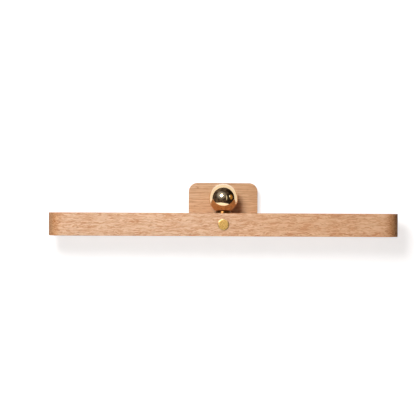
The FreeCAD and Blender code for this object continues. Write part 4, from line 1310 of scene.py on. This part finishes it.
class StageOperator(bpy.types.Operator):
    """Set up the wall, the floor, the lamps and the camera."""

    bl_idname = "wall_light.stage"
    bl_label = "Stage"

    def execute(self, context):
        stage = context.scene.wall_light.stage
        drop = stage.floor_drop
        floor_z = BALL_CENTRE.z - drop
        corners = ((-1, floor_z), (1, floor_z), (1, WALL_REACH), (-1, WALL_REACH))
        corners = [(side * WALL_REACH, WALL_Y, z) for side, z in corners]
        pale_wall = backdrop("Pale Wall", matt_share=0.45, mirror_glow=0.62)
        wall = stage_plane("wall", corners, pale_wall)
        front = [(side * drop, BALL_CENTRE.y - out * drop, floor_z) for side, out in FLOOR_FRONT]
        corners = [(front[0][0], WALL_Y, floor_z), *front, (front[-1][0], WALL_Y, floor_z)]
        stage_plane("floor", corners, backdrop("Pale Floor", matt_share=0.85, mirror_glow=0.95))
        dim_room()

        key_place = BALL_CENTRE + TOWARDS_KEY * stage.key_distance
        lamp("key", key_place, BALL_CENTRE, stage.key_size, stage.key_power)
        broad_place = BALL_CENTRE + TOWARDS_BROAD
        broad = lamp("broad", broad_place, BALL_CENTRE, SOFT_LAMP_SIZE, stage.soft_power)
        broad.visible_glossy = False
        back = lamp("back", BACK_LAMP_PLACE, (0, 0, 0), SOFT_LAMP_SIZE, stage.back_power)
        blockers = bpy.data.collections.new("Back Lamp Blockers")
        blockers.objects.link(wall)
        back.light_linking.blocker_collection = blockers
        blockers.collection_objects[0].light_linking.link_state = "EXCLUDE"
        studio_world(stage.fill)
        set_camera(stage)
        context.scene.view_settings.view_transform = "Standard"
        return {"FINISHED"}


def set_camera(stage):
    """Level camera before the wall, a little left of and below the ball, turned by a hair."""
    data = bpy.data.cameras.new("camera")
    data.lens = stage.lens
    data.sensor_width = SENSOR_WIDTH
    camera = bpy.data.objects.new("camera", data)
    camera.location = (CAMERA_X, -stage.camera_distance, CAMERA_Z)
    level = Matrix.Rotation(TURN / 4, 3, "X")
    camera.rotation_euler = (level @ Matrix.Rotation(CAMERA_TURN, 3, "Z")).to_euler()
    bpy.context.scene.collection.objects.link(camera)
    bpy.context.scene.camera = camera


class WallLightPanel(bpy.types.Panel):
    """Sidebar panel with the settings and the steps that make the wall light."""

    bl_idname = "VIEW3D_PT_wall_light"
    bl_label = "Wall Light"
    bl_space_type = "VIEW_3D"
    bl_region_type = "UI"
    bl_category = "Wall Light"

    def draw(self, context):
        settings = context.scene.wall_light
        for group in (settings.wood, settings.metal, settings.stage):
            box = self.layout.box()
            for key in group.__annotations__:
                box.prop(group, key)
        for operator in OPERATORS:
            self.layout.operator(operator.bl_idname)


OPERATORS = (
    StageOperator, BarOperator, PlateOperator, BallOperator, SeatOperator, ButtonOperator,
    DiffuserOperator, DiodesOperator, ScrewsOperator, FittingsOperator,
)
CLASSES = (
    WoodSettings, MetalSettings, StageSettings, WallLightSettings, *OPERATORS, WallLightPanel
)


def register():
    for item in CLASSES:
        bpy.utils.register_class(item)
    bpy.types.Scene.wall_light = PointerProperty(type=WallLightSettings)


def unregister():
    del bpy.types.Scene.wall_light
    for item in reversed(CLASSES):
        bpy.utils.unregister_class(item)


def main():
    register()
    bpy.ops.wall_light.stage()
    bpy.ops.wall_light.bar()
    bpy.ops.wall_light.plate()
    bpy.ops.wall_light.ball()
    bpy.ops.wall_light.seat()
    bpy.ops.wall_light.button()
    bpy.ops.wall_light.diffuser()
    bpy.ops.wall_light.diodes()
    bpy.ops.wall_light.screws()
    bpy.ops.wall_light.fittings()


if __name__ == "__main__":
    main()
